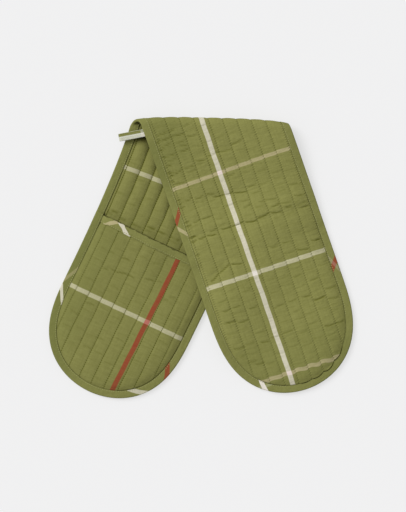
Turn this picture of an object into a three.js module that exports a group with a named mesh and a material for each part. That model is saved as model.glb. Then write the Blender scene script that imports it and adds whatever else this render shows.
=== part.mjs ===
// A double oven glove: one long quilted strip with a hand pocket on each end, bound with
// tape, folded over at its middle and laid flat so that its two arms cross.
//
// Millimetres, +Z up. The glove lies on z = 0, and +Y points from the arms' tips to the
// fold. The origin is on the surface, under the middle of the glove's box.
//
// The strip has a flat pattern with two coordinates: s runs along it, from the fold to the
// upper arm's tip (s > 0) and to the lower arm's tip (s < 0), and t runs across it, from
// its left edge to its right one. h is the height over the panel's middle surface, with
// h > 0 on the outer side of the fold. Every piece is made in s, t and h, and one function
// lays the whole strip down, so the pieces keep their gaps wherever it bends.
import * as THREE from "three";

// The finished strip, bound edge to bound edge
const HALF_WIDTH = 95;
const UPPER = { side: 1, length: 391, round: 129, mouth: 166 };
const LOWER = { side: -1, length: 409, round: 124, mouth: 183 };
const ROUND_POWER = 2.8;

// How it lies: where the fold's axis crosses the strip's middle line, and the angles
const FOLD_X = 15.8;
const FOLD_Y = 179.1;
const FOLD_TILT = THREE.MathUtils.degToRad(1.5);
const ARM_ANGLE = THREE.MathUtils.degToRad(20.6);
const ROLL_RADIUS = 8;
const ROLL_PINCH = 0.18;
const CORNER_TUCK = { depth: 3.2, run: 35 };
const BEND = { from: 40, to: 250, angle: THREE.MathUtils.degToRad(3.9) };
const LEFT_SPREAD = { width: 5.5, run: 55 };

// Thicknesses, each from a surface to the panel's middle, and the tapes
const BASE = { crown: 2.5, valley: 1.3, edge: 0.8 };
const POCKET = { crown: 1.8, valley: 0.9, rim: 1.0, edge: 0.6 };
const TAPE = 0.85;
const TAPE_WIDTH = 10.5;
const GAP = 0.35;
const PANEL_INSET = TAPE + GAP;

// The quilting stops this far inside the binding's inner edge, and puffs up over a run
const QUILT_MARGIN = 1.2;
const QUILT_HALF_WIDTH = HALF_WIDTH - TAPE_WIDTH - QUILT_MARGIN;
const PUFF_LEAD = 0.6;
const PUFF_RUN = 6;
const MOUTH_PUFF_LEAD = 1.5;

// Quilting lines: the distance between them, and the place of one line
const BASE_QUILT = { pitch: 18.2, line: 10.3 };
const POCKET_QUILT = { pitch: 18.4, line: -0.95 };

// How far each pocket stands off its panel, and the length over which it starts to
const GAPE = 6;
const GAPE_RUN = 45;
const RIM_RUN = 8;

// Where one arm presses the other's pocket nearly shut, at the corner of each mouth that
// lies in the crossing: the t where the pressing starts, its run, and its end along the arm
const PRESSED = { gape: 1, from: -10, run: 42, past: 20, fade: 75 };

// How the upper arm is carried: over the lower arm, then down to the surface beside it
const CLEARANCE = 2;
const RUNOUT = 100;
const SPRING_RUN = 115;

// The hidden pocket lifts the upper arm from a little before its mouth, and the lower arm's
// mouth lifts it in the same way: each rise's start before the mouth, and its run
const HIDDEN_RISE = { before: 66, run: 60 };
const CROSSED_RISE = { before: 77, run: 70 };

// The main creases of the upper arm: both ends of each, its depth and its half width
const CREASES = [
  { s0: 146, t0: -90, s1: 157, t1: 90, depth: 1.7, spread: 9 },
  { s0: 101, t0: -46, s1: 112, t1: 20, depth: 1.2, spread: 8 },
  { s0: 124, t0: -84, s1: 131, t1: -42, depth: 1.2, spread: 8 },
  { s0: 209, t0: -80, s1: 196, t1: -50, depth: 1.3, spread: 9 },
  { s0: 44, t0: -42, s1: 48, t1: 16, depth: 0.9, spread: 8 },
];
const CREASE_END = { past: 0.1, run: 0.25 };

// The hanging loop: where it is sewn to the left edge, its tape and how it points
const LOOP = {
  s: -8,
  width: 10,
  tape: 0.9,
  heading: THREE.MathUtils.degToRad(190.7),
  reach: 41,
  bight: 3.1,
  drop: 2.2,
  steps: 8,
  spread: 1.6,
};

// Where rows of points run across the strip, as distances from the fold's middle line
const ROLL_STEPS = 8;
const UPPER_ROWS = [18, 26, 36, 47, 58, 70, 83, 96, 106, 116, 126, 136, 146];
const LOWER_ROWS = [20, 30, 45, 65, 90, 120, 150];
const MOUTH_ROWS = [-10, 0, 12, 24];
const ROUND_LEAD = 40;
const UPPER_SHARES = [0.11, 0.22, 0.33, 0.45, 0.58, 0.71, 0.85, 1];
const LOWER_SHARES = [0.3, 0.55, 0.74, 0.88, 1];
const RIM_ROWS = [6.5, PANEL_INSET];
const CORNER_ROWS = [8, 20, 33];
const SKEW = { from: 16, to: 100 };
const SIDE_COLUMNS = [1, 5.5, 8.7];
const PLAIN_STRETCH = 20;
const CORNER_LEAD = 1.4;
const NORMAL_STEP = 0.6;
const AT_EDGE = 0.01;
const EDGE_SLACK = 0.2;
const ROUND_MARGIN = 0.5;

const clamp = THREE.MathUtils.clamp;
const lerp = THREE.MathUtils.lerp;

function smooth(value) {
  const x = clamp(value, 0, 1);
  return x * x * (3 - 2 * x);
}

const quarterRoll = (Math.PI / 2) * ROLL_RADIUS;
const alongFold = new THREE.Vector2(Math.cos(FOLD_TILT), -Math.sin(FOLD_TILT));
const fromFold = new THREE.Vector2(-Math.sin(FOLD_TILT), -Math.cos(FOLD_TILT));
const rollStart = quarterRoll / Math.cos(ARM_ANGLE);

// The rounded end: its outline, drawn in by an inset, for an angle from -90 to 90 degrees.
// y runs along the arm from where the end starts to be round.
function roundPoint(arm, angle, inset) {
  const across = HALF_WIDTH * Math.sin(angle);
  const share = Math.max(Math.cos(angle), 0) ** (2 / ROUND_POWER);
  const normal = new THREE.Vector2(
    (2 * Math.sin(angle)) / HALF_WIDTH,
    (ROUND_POWER * share ** (ROUND_POWER - 1)) / arm.round,
  ).normalize();
  return { t: across - inset * normal.x, y: arm.round * share - inset * normal.y };
}

// The angle at which the drawn-in outline of the rounded end stands at t, or at y
function roundAngle(arm, inset, coordinate, wanted) {
  let low = 0;
  let high = Math.PI / 2;
  for (let step = 0; step < 40; step++) {
    const middle = (low + high) / 2;
    const point = roundPoint(arm, middle, inset);
    const before = coordinate === "t" ? point.t < wanted : point.y > wanted;
    if (before) low = middle;
    else high = middle;
  }
  return (low + high) / 2;
}

// Points of each rounded outline, for distances to the finished edge
const roundOutlines = new Map(
  [UPPER, LOWER].map((arm) => {
    const points = [];
    for (let step = 0; step <= 180; step++) {
      points.push(roundPoint(arm, (Math.PI / 2) * (step / 180), 0));
    }
    return [arm, points];
  }),
);

// The distance from a place of the pattern to the finished edge
function edgeDistance(s, t) {
  const arm = s > 0 ? UPPER : LOWER;
  const y = Math.abs(s) - (arm.length - arm.round);
  const side = HALF_WIDTH - Math.abs(t);
  if (y < -2 * TAPE_WIDTH) return side;
  let nearest = side;
  for (const point of roundOutlines.get(arm)) {
    nearest = Math.min(nearest, Math.hypot(point.t - Math.abs(t), point.y - y));
  }
  return nearest;
}

// Where a place of the upper arm's plan lies on the lower arm
function lowerArmPlace(x, y) {
  const dx = x - FOLD_X;
  const dy = y - FOLD_Y;
  const away = dx * fromFold.x + dy * fromFold.y;
  const aside = dx * alongFold.x + dy * alongFold.y;
  let along = away * Math.cos(ARM_ANGLE) - aside * Math.sin(ARM_ANGLE);
  const across = away * Math.sin(ARM_ANGLE) + aside * Math.cos(ARM_ANGLE);
  let t = across;
  for (let step = 0; step < 6; step++) {
    const bent = bendPlace(along, t);
    along += away * Math.cos(ARM_ANGLE) - aside * Math.sin(ARM_ANGLE) - bent.along;
    t += across - bent.across;
  }
  return { along, t };
}

// The lower arm's bend in the plane of the surface. along runs from the fold's axis.
function bendPlace(along, t) {
  const length = BEND.to - BEND.from;
  const radius = length / BEND.angle;
  const run = along - BEND.from;
  if (run <= 0) return { along, across: t };
  const angle = Math.min(run, length) / radius;
  const straight = Math.max(run - length, 0);
  return {
    along: BEND.from + radius * Math.sin(angle) + straight * Math.cos(angle) + t * Math.sin(angle),
    across: t * Math.cos(angle) - radius * (1 - Math.cos(angle)) - straight * Math.sin(angle),
  };
}

// 1 inside the band over which a pocket mouth's tape runs under the edge binding, else 0
function mouthShare(arm, along) {
  const past = along - arm.mouth;
  if (past < MOUTH_ROWS[2]) return 1;
  return clamp((MOUTH_ROWS[3] - past) / (MOUTH_ROWS[3] - MOUTH_ROWS[2]), 0, 1);
}

// From 0 at the finished edge of a panel to 1 at the inner edge of the binding
function rimShare(distance) {
  return clamp((distance - PANEL_INSET) / (TAPE_WIDTH - PANEL_INSET), 0, 1);
}

// The gap between a panel and its pocket, from none at the edge binding
function gape(arm, along, t, distance) {
  const inward = clamp((distance - TAPE_WIDTH) / GAPE_RUN, 0, 1);
  const crossed = arm.side * -t;
  const aside = smooth((crossed - PRESSED.from) / PRESSED.run);
  const near = smooth((arm.mouth + PRESSED.past + PRESSED.fade - along) / PRESSED.fade);
  return lerp(GAPE, PRESSED.gape, aside * near) * (1 - (1 - inward) ** 3);
}

function baseRim(distance) {
  return lerp(BASE.edge, BASE.valley, rimShare(distance));
}

function pocketRim(distance) {
  return lerp(POCKET.edge, POCKET.rim, rimShare(distance));
}

// Half the thickness of a pocket's mouth with its tape
const mouthHalf = POCKET.rim + GAP + TAPE;

// How far the pocket's middle surface stands from the panel's, away from the fold's outside
function pocketDepth(arm, along, t, distance) {
  const inner = smooth((distance - TAPE_WIDTH) / RIM_RUN);
  const crossing = mouthShare(arm, along) * (TAPE + GAP);
  const atRim = baseRim(distance) + GAP + crossing + pocketRim(distance);
  const atMouth = BASE.crown + GAP + mouthHalf;
  const inside = lerp(BASE.crown + POCKET.crown, atMouth, mouthShare(arm, along));
  return lerp(atRim, inside, inner) + gape(arm, along, t, distance);
}

// What lies under the upper arm's panel, from its middle surface down: nothing but the
// panel near the fold, then the hidden pocket
function upperStack(s, t) {
  const distance = edgeDistance(s, t);
  const rise = smooth((s - UPPER.mouth + HIDDEN_RISE.before) / HIDDEN_RISE.run);
  const along = Math.max(s, UPPER.mouth);
  const inner = smooth((distance - TAPE_WIDTH) / RIM_RUN);
  const crossing = mouthShare(UPPER, along) * (TAPE + GAP);
  const lastRim = mouthHalf + crossing;
  const lastInner = lerp(POCKET.crown, mouthHalf, mouthShare(UPPER, along));
  const depth = pocketDepth(UPPER, along, t, Math.max(distance, TAPE_WIDTH));
  return lerp(BASE.crown, depth + lerp(lastRim, lastInner, inner), rise);
}

// The height that the lower arm holds the upper one at, which runs out beside it
function support(x, y) {
  const { along, t } = lowerArmPlace(x, y);
  const toMouth = LOWER.mouth - rollStart - along;
  const pocketTop = 2 * BASE.crown + GAP + 2 * mouthHalf + PRESSED.gape;
  const rise = smooth((CROSSED_RISE.before - toMouth) / CROSSED_RISE.run);
  const top = lerp(2 * BASE.crown, pocketTop, rise) + CLEARANCE;
  return top * (1 - smooth((t - HALF_WIDTH - CLEARANCE) / RUNOUT));
}

// How deep the creases are at a place: each fades out past both of its ends
function creaseDepth(s, t) {
  let depth = 0;
  for (const crease of CREASES) {
    const share = (t - crease.t0) / (crease.t1 - crease.t0);
    const start = smooth((share + CREASE_END.past) / CREASE_END.run);
    const end = smooth((1 + CREASE_END.past - share) / CREASE_END.run);
    const off = (s - lerp(crease.s0, crease.s1, share)) / crease.spread;
    depth += crease.depth * start * end * Math.exp(-2 * off * off);
  }
  return depth;
}

// The panel's middle surface, laid down
function middle(s, t) {
  const away = s * Math.cos(ARM_ANGLE) - t * Math.sin(ARM_ANGLE);
  let aside = s * Math.sin(ARM_ANGLE) + t * Math.cos(ARM_ANGLE);
  let out;
  let z = BASE.crown;
  const toCorner = Math.abs(aside) / (HALF_WIDTH / Math.cos(ARM_ANGLE));
  if (Math.abs(away) < quarterRoll) {
    const angle = away / ROLL_RADIUS;
    out = -ROLL_RADIUS * (1 - ROLL_PINCH * toCorner ** 3) * Math.cos(angle);
    z += ROLL_RADIUS * (1 + Math.sin(angle));
  } else {
    out = Math.abs(away) - quarterRoll;
  }
  if (away < quarterRoll) {
    const under = (1 - Math.sin(Math.max(away / ROLL_RADIUS, -Math.PI / 2))) / 2;
    const leftward = (Math.max(-t, 0) / HALF_WIDTH) ** 2;
    aside -= LEFT_SPREAD.width * under * leftward * Math.exp(-Math.max(out, 0) / LEFT_SPREAD.run);
  }
  out += CORNER_TUCK.depth * toCorner ** 4 * Math.exp(-(out + ROLL_RADIUS) / CORNER_TUCK.run);
  if (away < 0) {
    const along = -s - rollStart;
    const bent = bendPlace(along, t);
    const slipAlong = bent.along - along;
    const slipAcross = bent.across - t;
    out += slipAlong * Math.cos(ARM_ANGLE) + slipAcross * Math.sin(ARM_ANGLE);
    aside += slipAcross * Math.cos(ARM_ANGLE) - slipAlong * Math.sin(ARM_ANGLE);
  }
  const x = FOLD_X + out * fromFold.x + aside * alongFold.x;
  const y = FOLD_Y + out * fromFold.y + aside * alongFold.y;
  if (away >= quarterRoll) {
    const top = BASE.crown + 2 * ROLL_RADIUS;
    const held = 2 * BASE.crown + CLEARANCE + BASE.crown;
    const spring = (top - held) * (1 - smooth((away - quarterRoll) / SPRING_RUN));
    z = support(x, y) + upperStack(s, t) + spring - creaseDepth(s, t);
  }
  return new THREE.Vector3(x, y, z);
}

// A place of the pattern at a height over the panel's middle surface, laid down
function lay(s, t, h) {
  const acrossS = middle(s + NORMAL_STEP, t).sub(middle(s - NORMAL_STEP, t));
  const acrossT = middle(s, t + NORMAL_STEP).sub(middle(s, t - NORMAL_STEP));
  const normal = acrossS.cross(acrossT).normalize();
  return middle(s, t).addScaledVector(normal, h);
}

// A straight row of points across an arm, which gives s and t for a column of the panel.
// Near the fold it runs along the fold's axis, and further out square to the arm.
function straightRow(arm, along) {
  const skew = clamp((SKEW.to - along) / (SKEW.to - SKEW.from), 0, 1);
  return (column) => ({ s: arm.side * along + column.t * Math.tan(ARM_ANGLE) * skew, t: column.t });
}

// Where a column of points meets the edge's line at an inset, in the rounded end. A column
// that lies nearer to the side edge than that has a place a little before it instead.
function roundRow(arm, inset, corner) {
  const start = arm.length - arm.round;
  return (column) => {
    const outer = HALF_WIDTH - PANEL_INSET;
    const t = Math.abs(column.t);
    if (t > outer - AT_EDGE) {
      const angle = roundAngle(arm, PANEL_INSET, "y", corner);
      const point = roundPoint(arm, angle, PANEL_INSET);
      return { s: arm.side * (start + point.y), t: Math.sign(column.t) * point.t, angle };
    }
    if (HALF_WIDTH - t <= inset + EDGE_SLACK) {
      const lead = (inset - HALF_WIDTH + t) * CORNER_LEAD;
      return { s: arm.side * (start + corner - lead), t: column.t };
    }
    const angle = roundAngle(arm, inset, "t", t);
    return { s: arm.side * (start + roundPoint(arm, angle, inset).y), t: column.t, angle };
  };
}

// All rows across an arm: straight ones, then some that share out the way to its rounded
// end, then some that follow its edge
function armRows(arm, plain, shares) {
  const start = arm.length - arm.round;
  const lead = start - ROUND_LEAD;
  const rows = plain.map((along) => straightRow(arm, along));
  for (const past of MOUTH_ROWS) rows.push(straightRow(arm, arm.mouth + past));
  if (lead > arm.mouth + MOUTH_ROWS[3] + PLAIN_STRETCH) {
    rows.push(straightRow(arm, (arm.mouth + MOUTH_ROWS[3] + lead) / 2));
  }
  rows.push(straightRow(arm, lead));
  const last = roundRow(arm, TAPE_WIDTH + ROUND_MARGIN, CORNER_ROWS[0]);
  for (const share of shares) {
    rows.push((column) => {
      const end = last(column);
      return { s: lerp(arm.side * lead, end.s, share), t: lerp(column.t, end.t, share) };
    });
  }
  RIM_ROWS.forEach((inset, index) => rows.push(roundRow(arm, inset, CORNER_ROWS[index + 1])));
  return rows;
}

const upperRows = armRows(UPPER, UPPER_ROWS, UPPER_SHARES);
const lowerRows = armRows(LOWER, LOWER_ROWS, LOWER_SHARES);
const rollRows = [];
for (let step = 0; step <= ROLL_STEPS; step++) {
  const away = lerp(-rollStart, rollStart, step / ROLL_STEPS);
  rollRows.push((column) => ({ s: away + column.t * Math.tan(ARM_ANGLE), t: column.t }));
}
const stripRows = [...lowerRows.toReversed(), ...rollRows, ...upperRows];

// Columns of points along a quilted panel: a line of stitches, then two on each channel,
// and at each side some under the binding
function quiltColumns(quilt) {
  const rim = QUILT_HALF_WIDTH;
  const columns = [];
  const first = Math.ceil((-rim - quilt.line) / quilt.pitch);
  for (let third = first * 3 - 3; ; third++) {
    const t = quilt.line + (third * quilt.pitch) / 3;
    if (t >= rim) break;
    if (t > -rim) columns.push({ t });
  }
  const outer = HALF_WIDTH - PANEL_INSET;
  const sides = [...SIDE_COLUMNS.map((past) => rim + past), outer];
  const left = sides.toReversed().map((t) => ({ t: -t }));
  return [...left, ...columns, ...sides.map((t) => ({ t }))];
}

// Half the thickness of a quilted panel: puffed between the lines of stitches, so that the
// columns of points a third of a channel from each line stand at the crown
function quiltHalf(quilt, sizes, t, rimHalf, distance) {
  const share = (((t - quilt.line) / quilt.pitch) % 1 + 1) % 1;
  const puff = Math.min(1, Math.sin(Math.PI * share) / Math.sin(Math.PI / 3));
  const inner = smooth((distance - TAPE_WIDTH - PUFF_LEAD) / PUFF_RUN);
  return lerp(rimHalf, lerp(sizes.valley, sizes.crown, puff), inner);
}

function baseHalf(s, t) {
  const distance = edgeDistance(s, t);
  if (distance <= TAPE_WIDTH + PUFF_LEAD) return baseRim(distance);
  return quiltHalf(BASE_QUILT, BASE, t, BASE.valley, distance);
}

function pocketHalf(arm, s, t) {
  const distance = edgeDistance(s, t);
  const rim = pocketRim(distance);
  const past = Math.abs(s) - arm.mouth;
  if (distance <= TAPE_WIDTH + PUFF_LEAD) return rim;
  const fromMouth = smooth((past - TAPE_WIDTH - MOUTH_PUFF_LEAD) / PUFF_RUN);
  return lerp(rim, quiltHalf(POCKET_QUILT, POCKET, t, rim, distance), fromMouth);
}

// A closed skin over rings of points, each ring closed on itself. The rings close into a
// loop, or the given triangles of a ring's own points close both ends.
function skin(rings, cap) {
  const size = rings[0].length;
  const positions = rings.flat().flatMap((point) => [point.x, point.y, point.z]);
  const index = [];
  const last = cap ? rings.length - 1 : rings.length;
  for (let ring = 0; ring < last; ring++) {
    const near = ring * size;
    const far = ((ring + 1) % rings.length) * size;
    for (let spot = 0; spot < size; spot++) {
      const next = (spot + 1) % size;
      index.push(near + spot, near + next, far + next, near + spot, far + next, far + spot);
    }
  }
  for (const face of cap ?? []) {
    index.push(...face.toReversed());
    index.push(...face.map((corner) => last * size + corner));
  }
  const geometry = new THREE.BufferGeometry();
  geometry.setAttribute("position", new THREE.Float32BufferAttribute(positions, 3));
  geometry.setIndex(index);
  return outward(geometry);
}

// Triangles that close a ring whose two halves mirror each other, as a ladder
function ladderCap(size) {
  const faces = [];
  for (let low = 0; low < size / 2 - 1; low++) {
    const high = size - 1 - low;
    faces.push([low, low + 1, high - 1], [low, high - 1, high]);
  }
  return faces;
}

// Turns a closed geometry so that its faces point out
function outward(geometry) {
  const points = geometry.attributes.position;
  const index = geometry.index.array;
  const [a, b, c] = [new THREE.Vector3(), new THREE.Vector3(), new THREE.Vector3()];
  let volume = 0;
  for (let corner = 0; corner < index.length; corner += 3) {
    a.fromBufferAttribute(points, index[corner]);
    b.fromBufferAttribute(points, index[corner + 1]);
    c.fromBufferAttribute(points, index[corner + 2]);
    volume += a.dot(b.cross(c));
  }
  if (volume < 0) {
    for (let corner = 0; corner < index.length; corner += 3) {
      [index[corner], index[corner + 2]] = [index[corner + 2], index[corner]];
    }
  }
  geometry.computeVertexNormals();
  return geometry;
}

// A panel with two faces: each row of it is a ring, out along one face, back on the other
function panel(rows, columns, face, back) {
  const rings = rows.map((row) => {
    const places = columns.map((column) => row(column));
    const front = places.map(({ s, t }) => lay(s, t, face(s, t)));
    const behind = places.map(({ s, t }) => lay(s, t, back(s, t)));
    return [...front, ...behind.toReversed()];
  });
  return skin(rings, ladderCap(rings[0].length));
}

function basePanel() {
  const columns = quiltColumns(BASE_QUILT);
  return panel(stripRows, columns, baseHalf, (s, t) => -baseHalf(s, t));
}

function pocketPanel(arm, rows) {
  const columns = quiltColumns(POCKET_QUILT);
  const edge = straightRow(arm, arm.mouth + PANEL_INSET);
  const kept = rows.filter((row) => Math.abs(row({ t: 0 }).s) > arm.mouth + 1);
  const depth = (s, t) => -pocketDepth(arm, Math.abs(s), t, edgeDistance(s, t));
  return panel(
    [edge, ...kept],
    columns,
    (s, t) => depth(s, t) + pocketHalf(arm, s, t),
    (s, t) => depth(s, t) - pocketHalf(arm, s, t),
  );
}

// The bindings' sections: where each fold's shoulder lies from the edge, and its bevel
const EDGE_FOLD = { shoulder: 1.5, bevel: 1.1 };
const MOUTH_FOLD = { shoulder: 1.2, bevel: 0.4 };

// The binding's section at a place of the edge. place gives s and t for a distance from
// the finished edge, and the numbers beside it are heights over the panel's middle.
function bindingSection(place, arm, along) {
  const pocketed = along >= arm.mouth - 1;
  const crossing = mouthShare(arm, along) * (TAPE + GAP);
  const under = (distance) => {
    const panelHalf = baseRim(distance);
    const pocket = 2 * pocketRim(distance) + GAP + 2 * crossing;
    return panelHalf + GAP + (pocketed ? pocket : 0);
  };
  const { shoulder, bevel } = EDGE_FOLD;
  const legs = [
    [TAPE_WIDTH, baseRim(TAPE_WIDTH) + GAP + TAPE],
    [shoulder, baseRim(shoulder) + GAP + TAPE],
    [0, TAPE],
    [0, bevel - under(shoulder) - TAPE],
    [shoulder, -under(shoulder) - TAPE],
    [TAPE_WIDTH, -under(TAPE_WIDTH) - TAPE],
    [TAPE_WIDTH, -under(TAPE_WIDTH)],
    [TAPE, -under(PANEL_INSET)],
    [TAPE, baseRim(PANEL_INSET) + GAP],
    [TAPE_WIDTH, baseRim(TAPE_WIDTH) + GAP],
  ];
  return legs.map(([distance, height]) => {
    const { s, t } = place(distance);
    return lay(s, t, height);
  });
}

// The edge binding: one ring of tape, up the right edge, round the upper arm's end, down
// the left edge and round the lower arm's end
function edgeBinding() {
  const columns = quiltColumns(BASE_QUILT);
  const inner = columns.slice(1, -1);
  const sections = [];
  const sideRows = stripRows.slice(RIM_ROWS.length, -RIM_ROWS.length);
  const addSide = (sign) => {
    const rows = sign > 0 ? sideRows : sideRows.toReversed();
    for (const row of rows) {
      const place = (distance) => {
        const at = row({ t: sign * (HALF_WIDTH - distance) });
        return { s: at.s, t: sign * (HALF_WIDTH - distance) };
      };
      const middleAlong = Math.abs(row({ t: 0 }).s);
      const arm = row({ t: 0 }).s > 0 ? UPPER : LOWER;
      const along = middleAlong > arm.mouth + MOUTH_ROWS[3] ? Math.abs(place(0).s) : middleAlong;
      sections.push(bindingSection(place, arm, along));
    }
  };
  const addRound = (arm, angles) => {
    for (const angle of angles) {
      const place = (distance) => {
        const point = roundPoint(arm, Math.abs(angle), distance);
        return { s: arm.side * (arm.length - arm.round + point.y), t: Math.sign(angle) * point.t };
      };
      sections.push(bindingSection(place, arm, arm.length));
    }
  };
  const roundAngles = (arm) => {
    const corners = CORNER_ROWS.slice(1).map((y) => roundAngle(arm, PANEL_INSET, "y", y));
    const round = inner.map(({ t }) => Math.sign(t) * roundAngle(arm, PANEL_INSET, "t", Math.abs(t)));
    return [...corners.map((angle) => -angle), ...round, ...corners.toReversed()];
  };
  addSide(1);
  addRound(UPPER, roundAngles(UPPER).toReversed());
  addSide(-1);
  addRound(LOWER, roundAngles(LOWER));
  return skin(sections);
}

// The tape over a pocket's top edge, from side to side, under the edge binding at its ends
function mouthBinding(arm) {
  const columns = quiltColumns(POCKET_QUILT);
  const { shoulder, bevel } = MOUTH_FOLD;
  const sectionAt = (distance) => {
    const inner = pocketRim(distance) + GAP;
    const outer = inner + TAPE;
    return [
      [TAPE_WIDTH, outer],
      [shoulder, outer],
      [0, outer * bevel],
      [0, -outer * bevel],
      [shoulder, -outer],
      [TAPE_WIDTH, -outer],
      [TAPE_WIDTH, -inner],
      [TAPE, -inner],
      [TAPE, inner],
      [TAPE_WIDTH, inner],
    ];
  };
  const sections = columns.map(({ t }) => {
    const distance = HALF_WIDTH - Math.abs(t);
    const depth = pocketDepth(arm, arm.mouth, t, distance);
    return sectionAt(distance).map(([past, height]) => {
      return lay(arm.side * (arm.mouth + past), t, height - depth);
    });
  });
  const outline = sectionAt(TAPE_WIDTH).map(([past, height]) => new THREE.Vector2(past, height));
  return skin(sections, THREE.ShapeUtils.triangulateShape(outline, []));
}

// The hanging loop: a flat tape that leaves the left edge's underside, turns back on
// itself round a small bight, and returns beneath itself
function hangingLoop() {
  const root = lay(LOOP.s, -HALF_WIDTH + TAPE_WIDTH - 1, -BASE.crown - GAP - LOOP.tape / 2);
  const ahead = new THREE.Vector3(Math.cos(LOOP.heading), Math.sin(LOOP.heading), 0);
  const aside = new THREE.Vector3(-ahead.y, ahead.x, 0);
  const path = [];
  for (let step = 0; step <= LOOP.steps; step++) {
    const share = step / LOOP.steps;
    path.push({ along: share * LOOP.reach, z: -LOOP.drop * smooth(share) });
  }
  for (let step = 1; step < LOOP.steps; step++) {
    const angle = Math.PI * (step / LOOP.steps);
    const along = LOOP.reach + LOOP.bight * Math.sin(angle);
    path.push({ along, z: -LOOP.drop - LOOP.bight * (1 - Math.cos(angle)) });
  }
  for (let step = LOOP.steps; step >= 0; step--) {
    const share = step / LOOP.steps;
    const apart = lerp(LOOP.tape + GAP, 2 * LOOP.bight, smooth(share * LOOP.spread));
    path.push({ along: share * LOOP.reach, z: -LOOP.drop * smooth(share) - apart });
  }
  const rings = path.map((point, index) => {
    const before = path[Math.max(index - 1, 0)];
    const after = path[Math.min(index + 1, path.length - 1)];
    const slope = new THREE.Vector2(after.along - before.along, after.z - before.z).normalize();
    const centre = root.clone().addScaledVector(ahead, point.along);
    centre.z += point.z;
    const lift = new THREE.Vector3().addScaledVector(ahead, -slope.y);
    lift.z = slope.x;
    const half = LOOP.width / 2;
    const corners = [[half, 0.5], [-half, 0.5], [-half, -0.5], [half, -0.5]];
    return corners.map(([side, up]) => {
      return centre.clone().addScaledVector(aside, side).addScaledVector(lift, up * LOOP.tape);
    });
  });
  return skin(rings, ladderCap(rings[0].length));
}

// Finishes: green cotton with its wadding, the same cloth as tape, and the loop's paler end
const quiltedCotton = { color: "#7d7f46", roughness: 0.92, metalness: 0 };
const tapeCotton = { color: "#797a41", roughness: 0.9, metalness: 0 };
const loopCotton = { color: "#a3a283", roughness: 0.9, metalness: 0 };

const glove = new THREE.Group();

function add(name, geometry, finish) {
  const mesh = new THREE.Mesh(geometry, new THREE.MeshStandardMaterial(finish));
  mesh.name = name;
  glove.add(mesh);
}

add("base_panel", basePanel(), quiltedCotton);
add("lower_pocket", pocketPanel(LOWER, lowerRows), quiltedCotton);
add("upper_pocket", pocketPanel(UPPER, upperRows), quiltedCotton);
add("edge_binding", edgeBinding(), tapeCotton);
add("lower_mouth_binding", mouthBinding(LOWER), tapeCotton);
add("upper_mouth_binding", mouthBinding(UPPER), tapeCotton);
add("hanging_loop", hangingLoop(), loopCotton);

export default glove;
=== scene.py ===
"""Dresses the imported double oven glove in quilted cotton, bias tape, thread and a hanging loop.

Each piece is made flat first, as a maker cuts it, in the strip's own pattern: s runs along
the strip from its fold (above 0 on the upper arm, below 0 on the lower one), t runs across
it, and h is the height over the panel's middle surface. FoldedStrip.lay then puts every
point of the piece where the folded glove lies. Sizes are metres.
"""

import logging
import math
from abc import ABC, abstractmethod
from collections.abc import Callable
from dataclasses import dataclass, field, replace
from enum import Enum

import bmesh
import bpy
import numpy as np

from mathutils import Matrix, Vector

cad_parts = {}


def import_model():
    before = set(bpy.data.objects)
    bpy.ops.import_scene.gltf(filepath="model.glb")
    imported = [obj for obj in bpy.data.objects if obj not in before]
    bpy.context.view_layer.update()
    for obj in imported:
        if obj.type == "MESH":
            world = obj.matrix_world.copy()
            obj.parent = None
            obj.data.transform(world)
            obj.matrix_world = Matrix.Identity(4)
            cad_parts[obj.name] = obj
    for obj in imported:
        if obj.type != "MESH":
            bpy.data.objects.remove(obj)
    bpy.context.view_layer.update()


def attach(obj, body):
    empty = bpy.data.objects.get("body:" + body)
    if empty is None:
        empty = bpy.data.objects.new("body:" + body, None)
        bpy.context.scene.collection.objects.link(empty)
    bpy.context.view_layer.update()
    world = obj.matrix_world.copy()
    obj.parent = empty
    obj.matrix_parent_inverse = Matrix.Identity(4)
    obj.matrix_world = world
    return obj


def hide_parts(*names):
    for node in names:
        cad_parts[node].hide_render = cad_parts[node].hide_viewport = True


Array = np.ndarray
Amount = float | Array
Colour = tuple[float, float, float]
Spot = tuple[float, float]
Socket = bpy.types.NodeSocket
Value = Socket | float | Colour

MM = 0.001
WELD = 1e-7
# How much deeper every crease is made than its row says
PUCKER_SCALE = 1.25
# Lines of stitches between which faint creases are scattered, by their distance from the middle
SCATTER_LIMIT = 0.085
LOG = logging.getLogger("oven_glove")


def smooth(value: Array) -> Array:
    """Eases a value from 0 to 1."""
    x = np.clip(value, 0.0, 1.0)
    return x * x * (3 - 2 * x)


def rise(value: Array, start: Amount, run: Amount) -> Array:
    """Eases from 0 where a value is at start to 1 where it is a run past it."""
    return smooth((value - start) / run)


def fall(value: Array, end: Amount, run: Amount) -> Array:
    """Eases from 1 where a value is a run short of end to 0 where it is at end."""
    return smooth((end - value) / run)


def lerp(low: Amount, high: Amount, share: Array) -> Array:
    """The value that lies a share of the way from low to high."""
    return low + (high - low) * share


def linear(red: int, green: int, blue: int) -> Colour:
    """Scene-linear colour of a screen colour given in 0 to 255."""
    parts = [c / 255 for c in (red, green, blue)]
    return tuple(c / 12.92 if c <= 0.04045 else ((c + 0.055) / 1.055) ** 2.4 for c in parts)


# ---------------------------------------------------------------------------- the pattern


@dataclass(frozen=True)
class Arm:
    """One arm of the strip, measured from the fold's middle line."""

    side: int
    length: float
    round: float
    mouth: float

    @property
    def start(self) -> float:
        """Where the arm's end starts to be round."""
        return self.length - self.round


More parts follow.
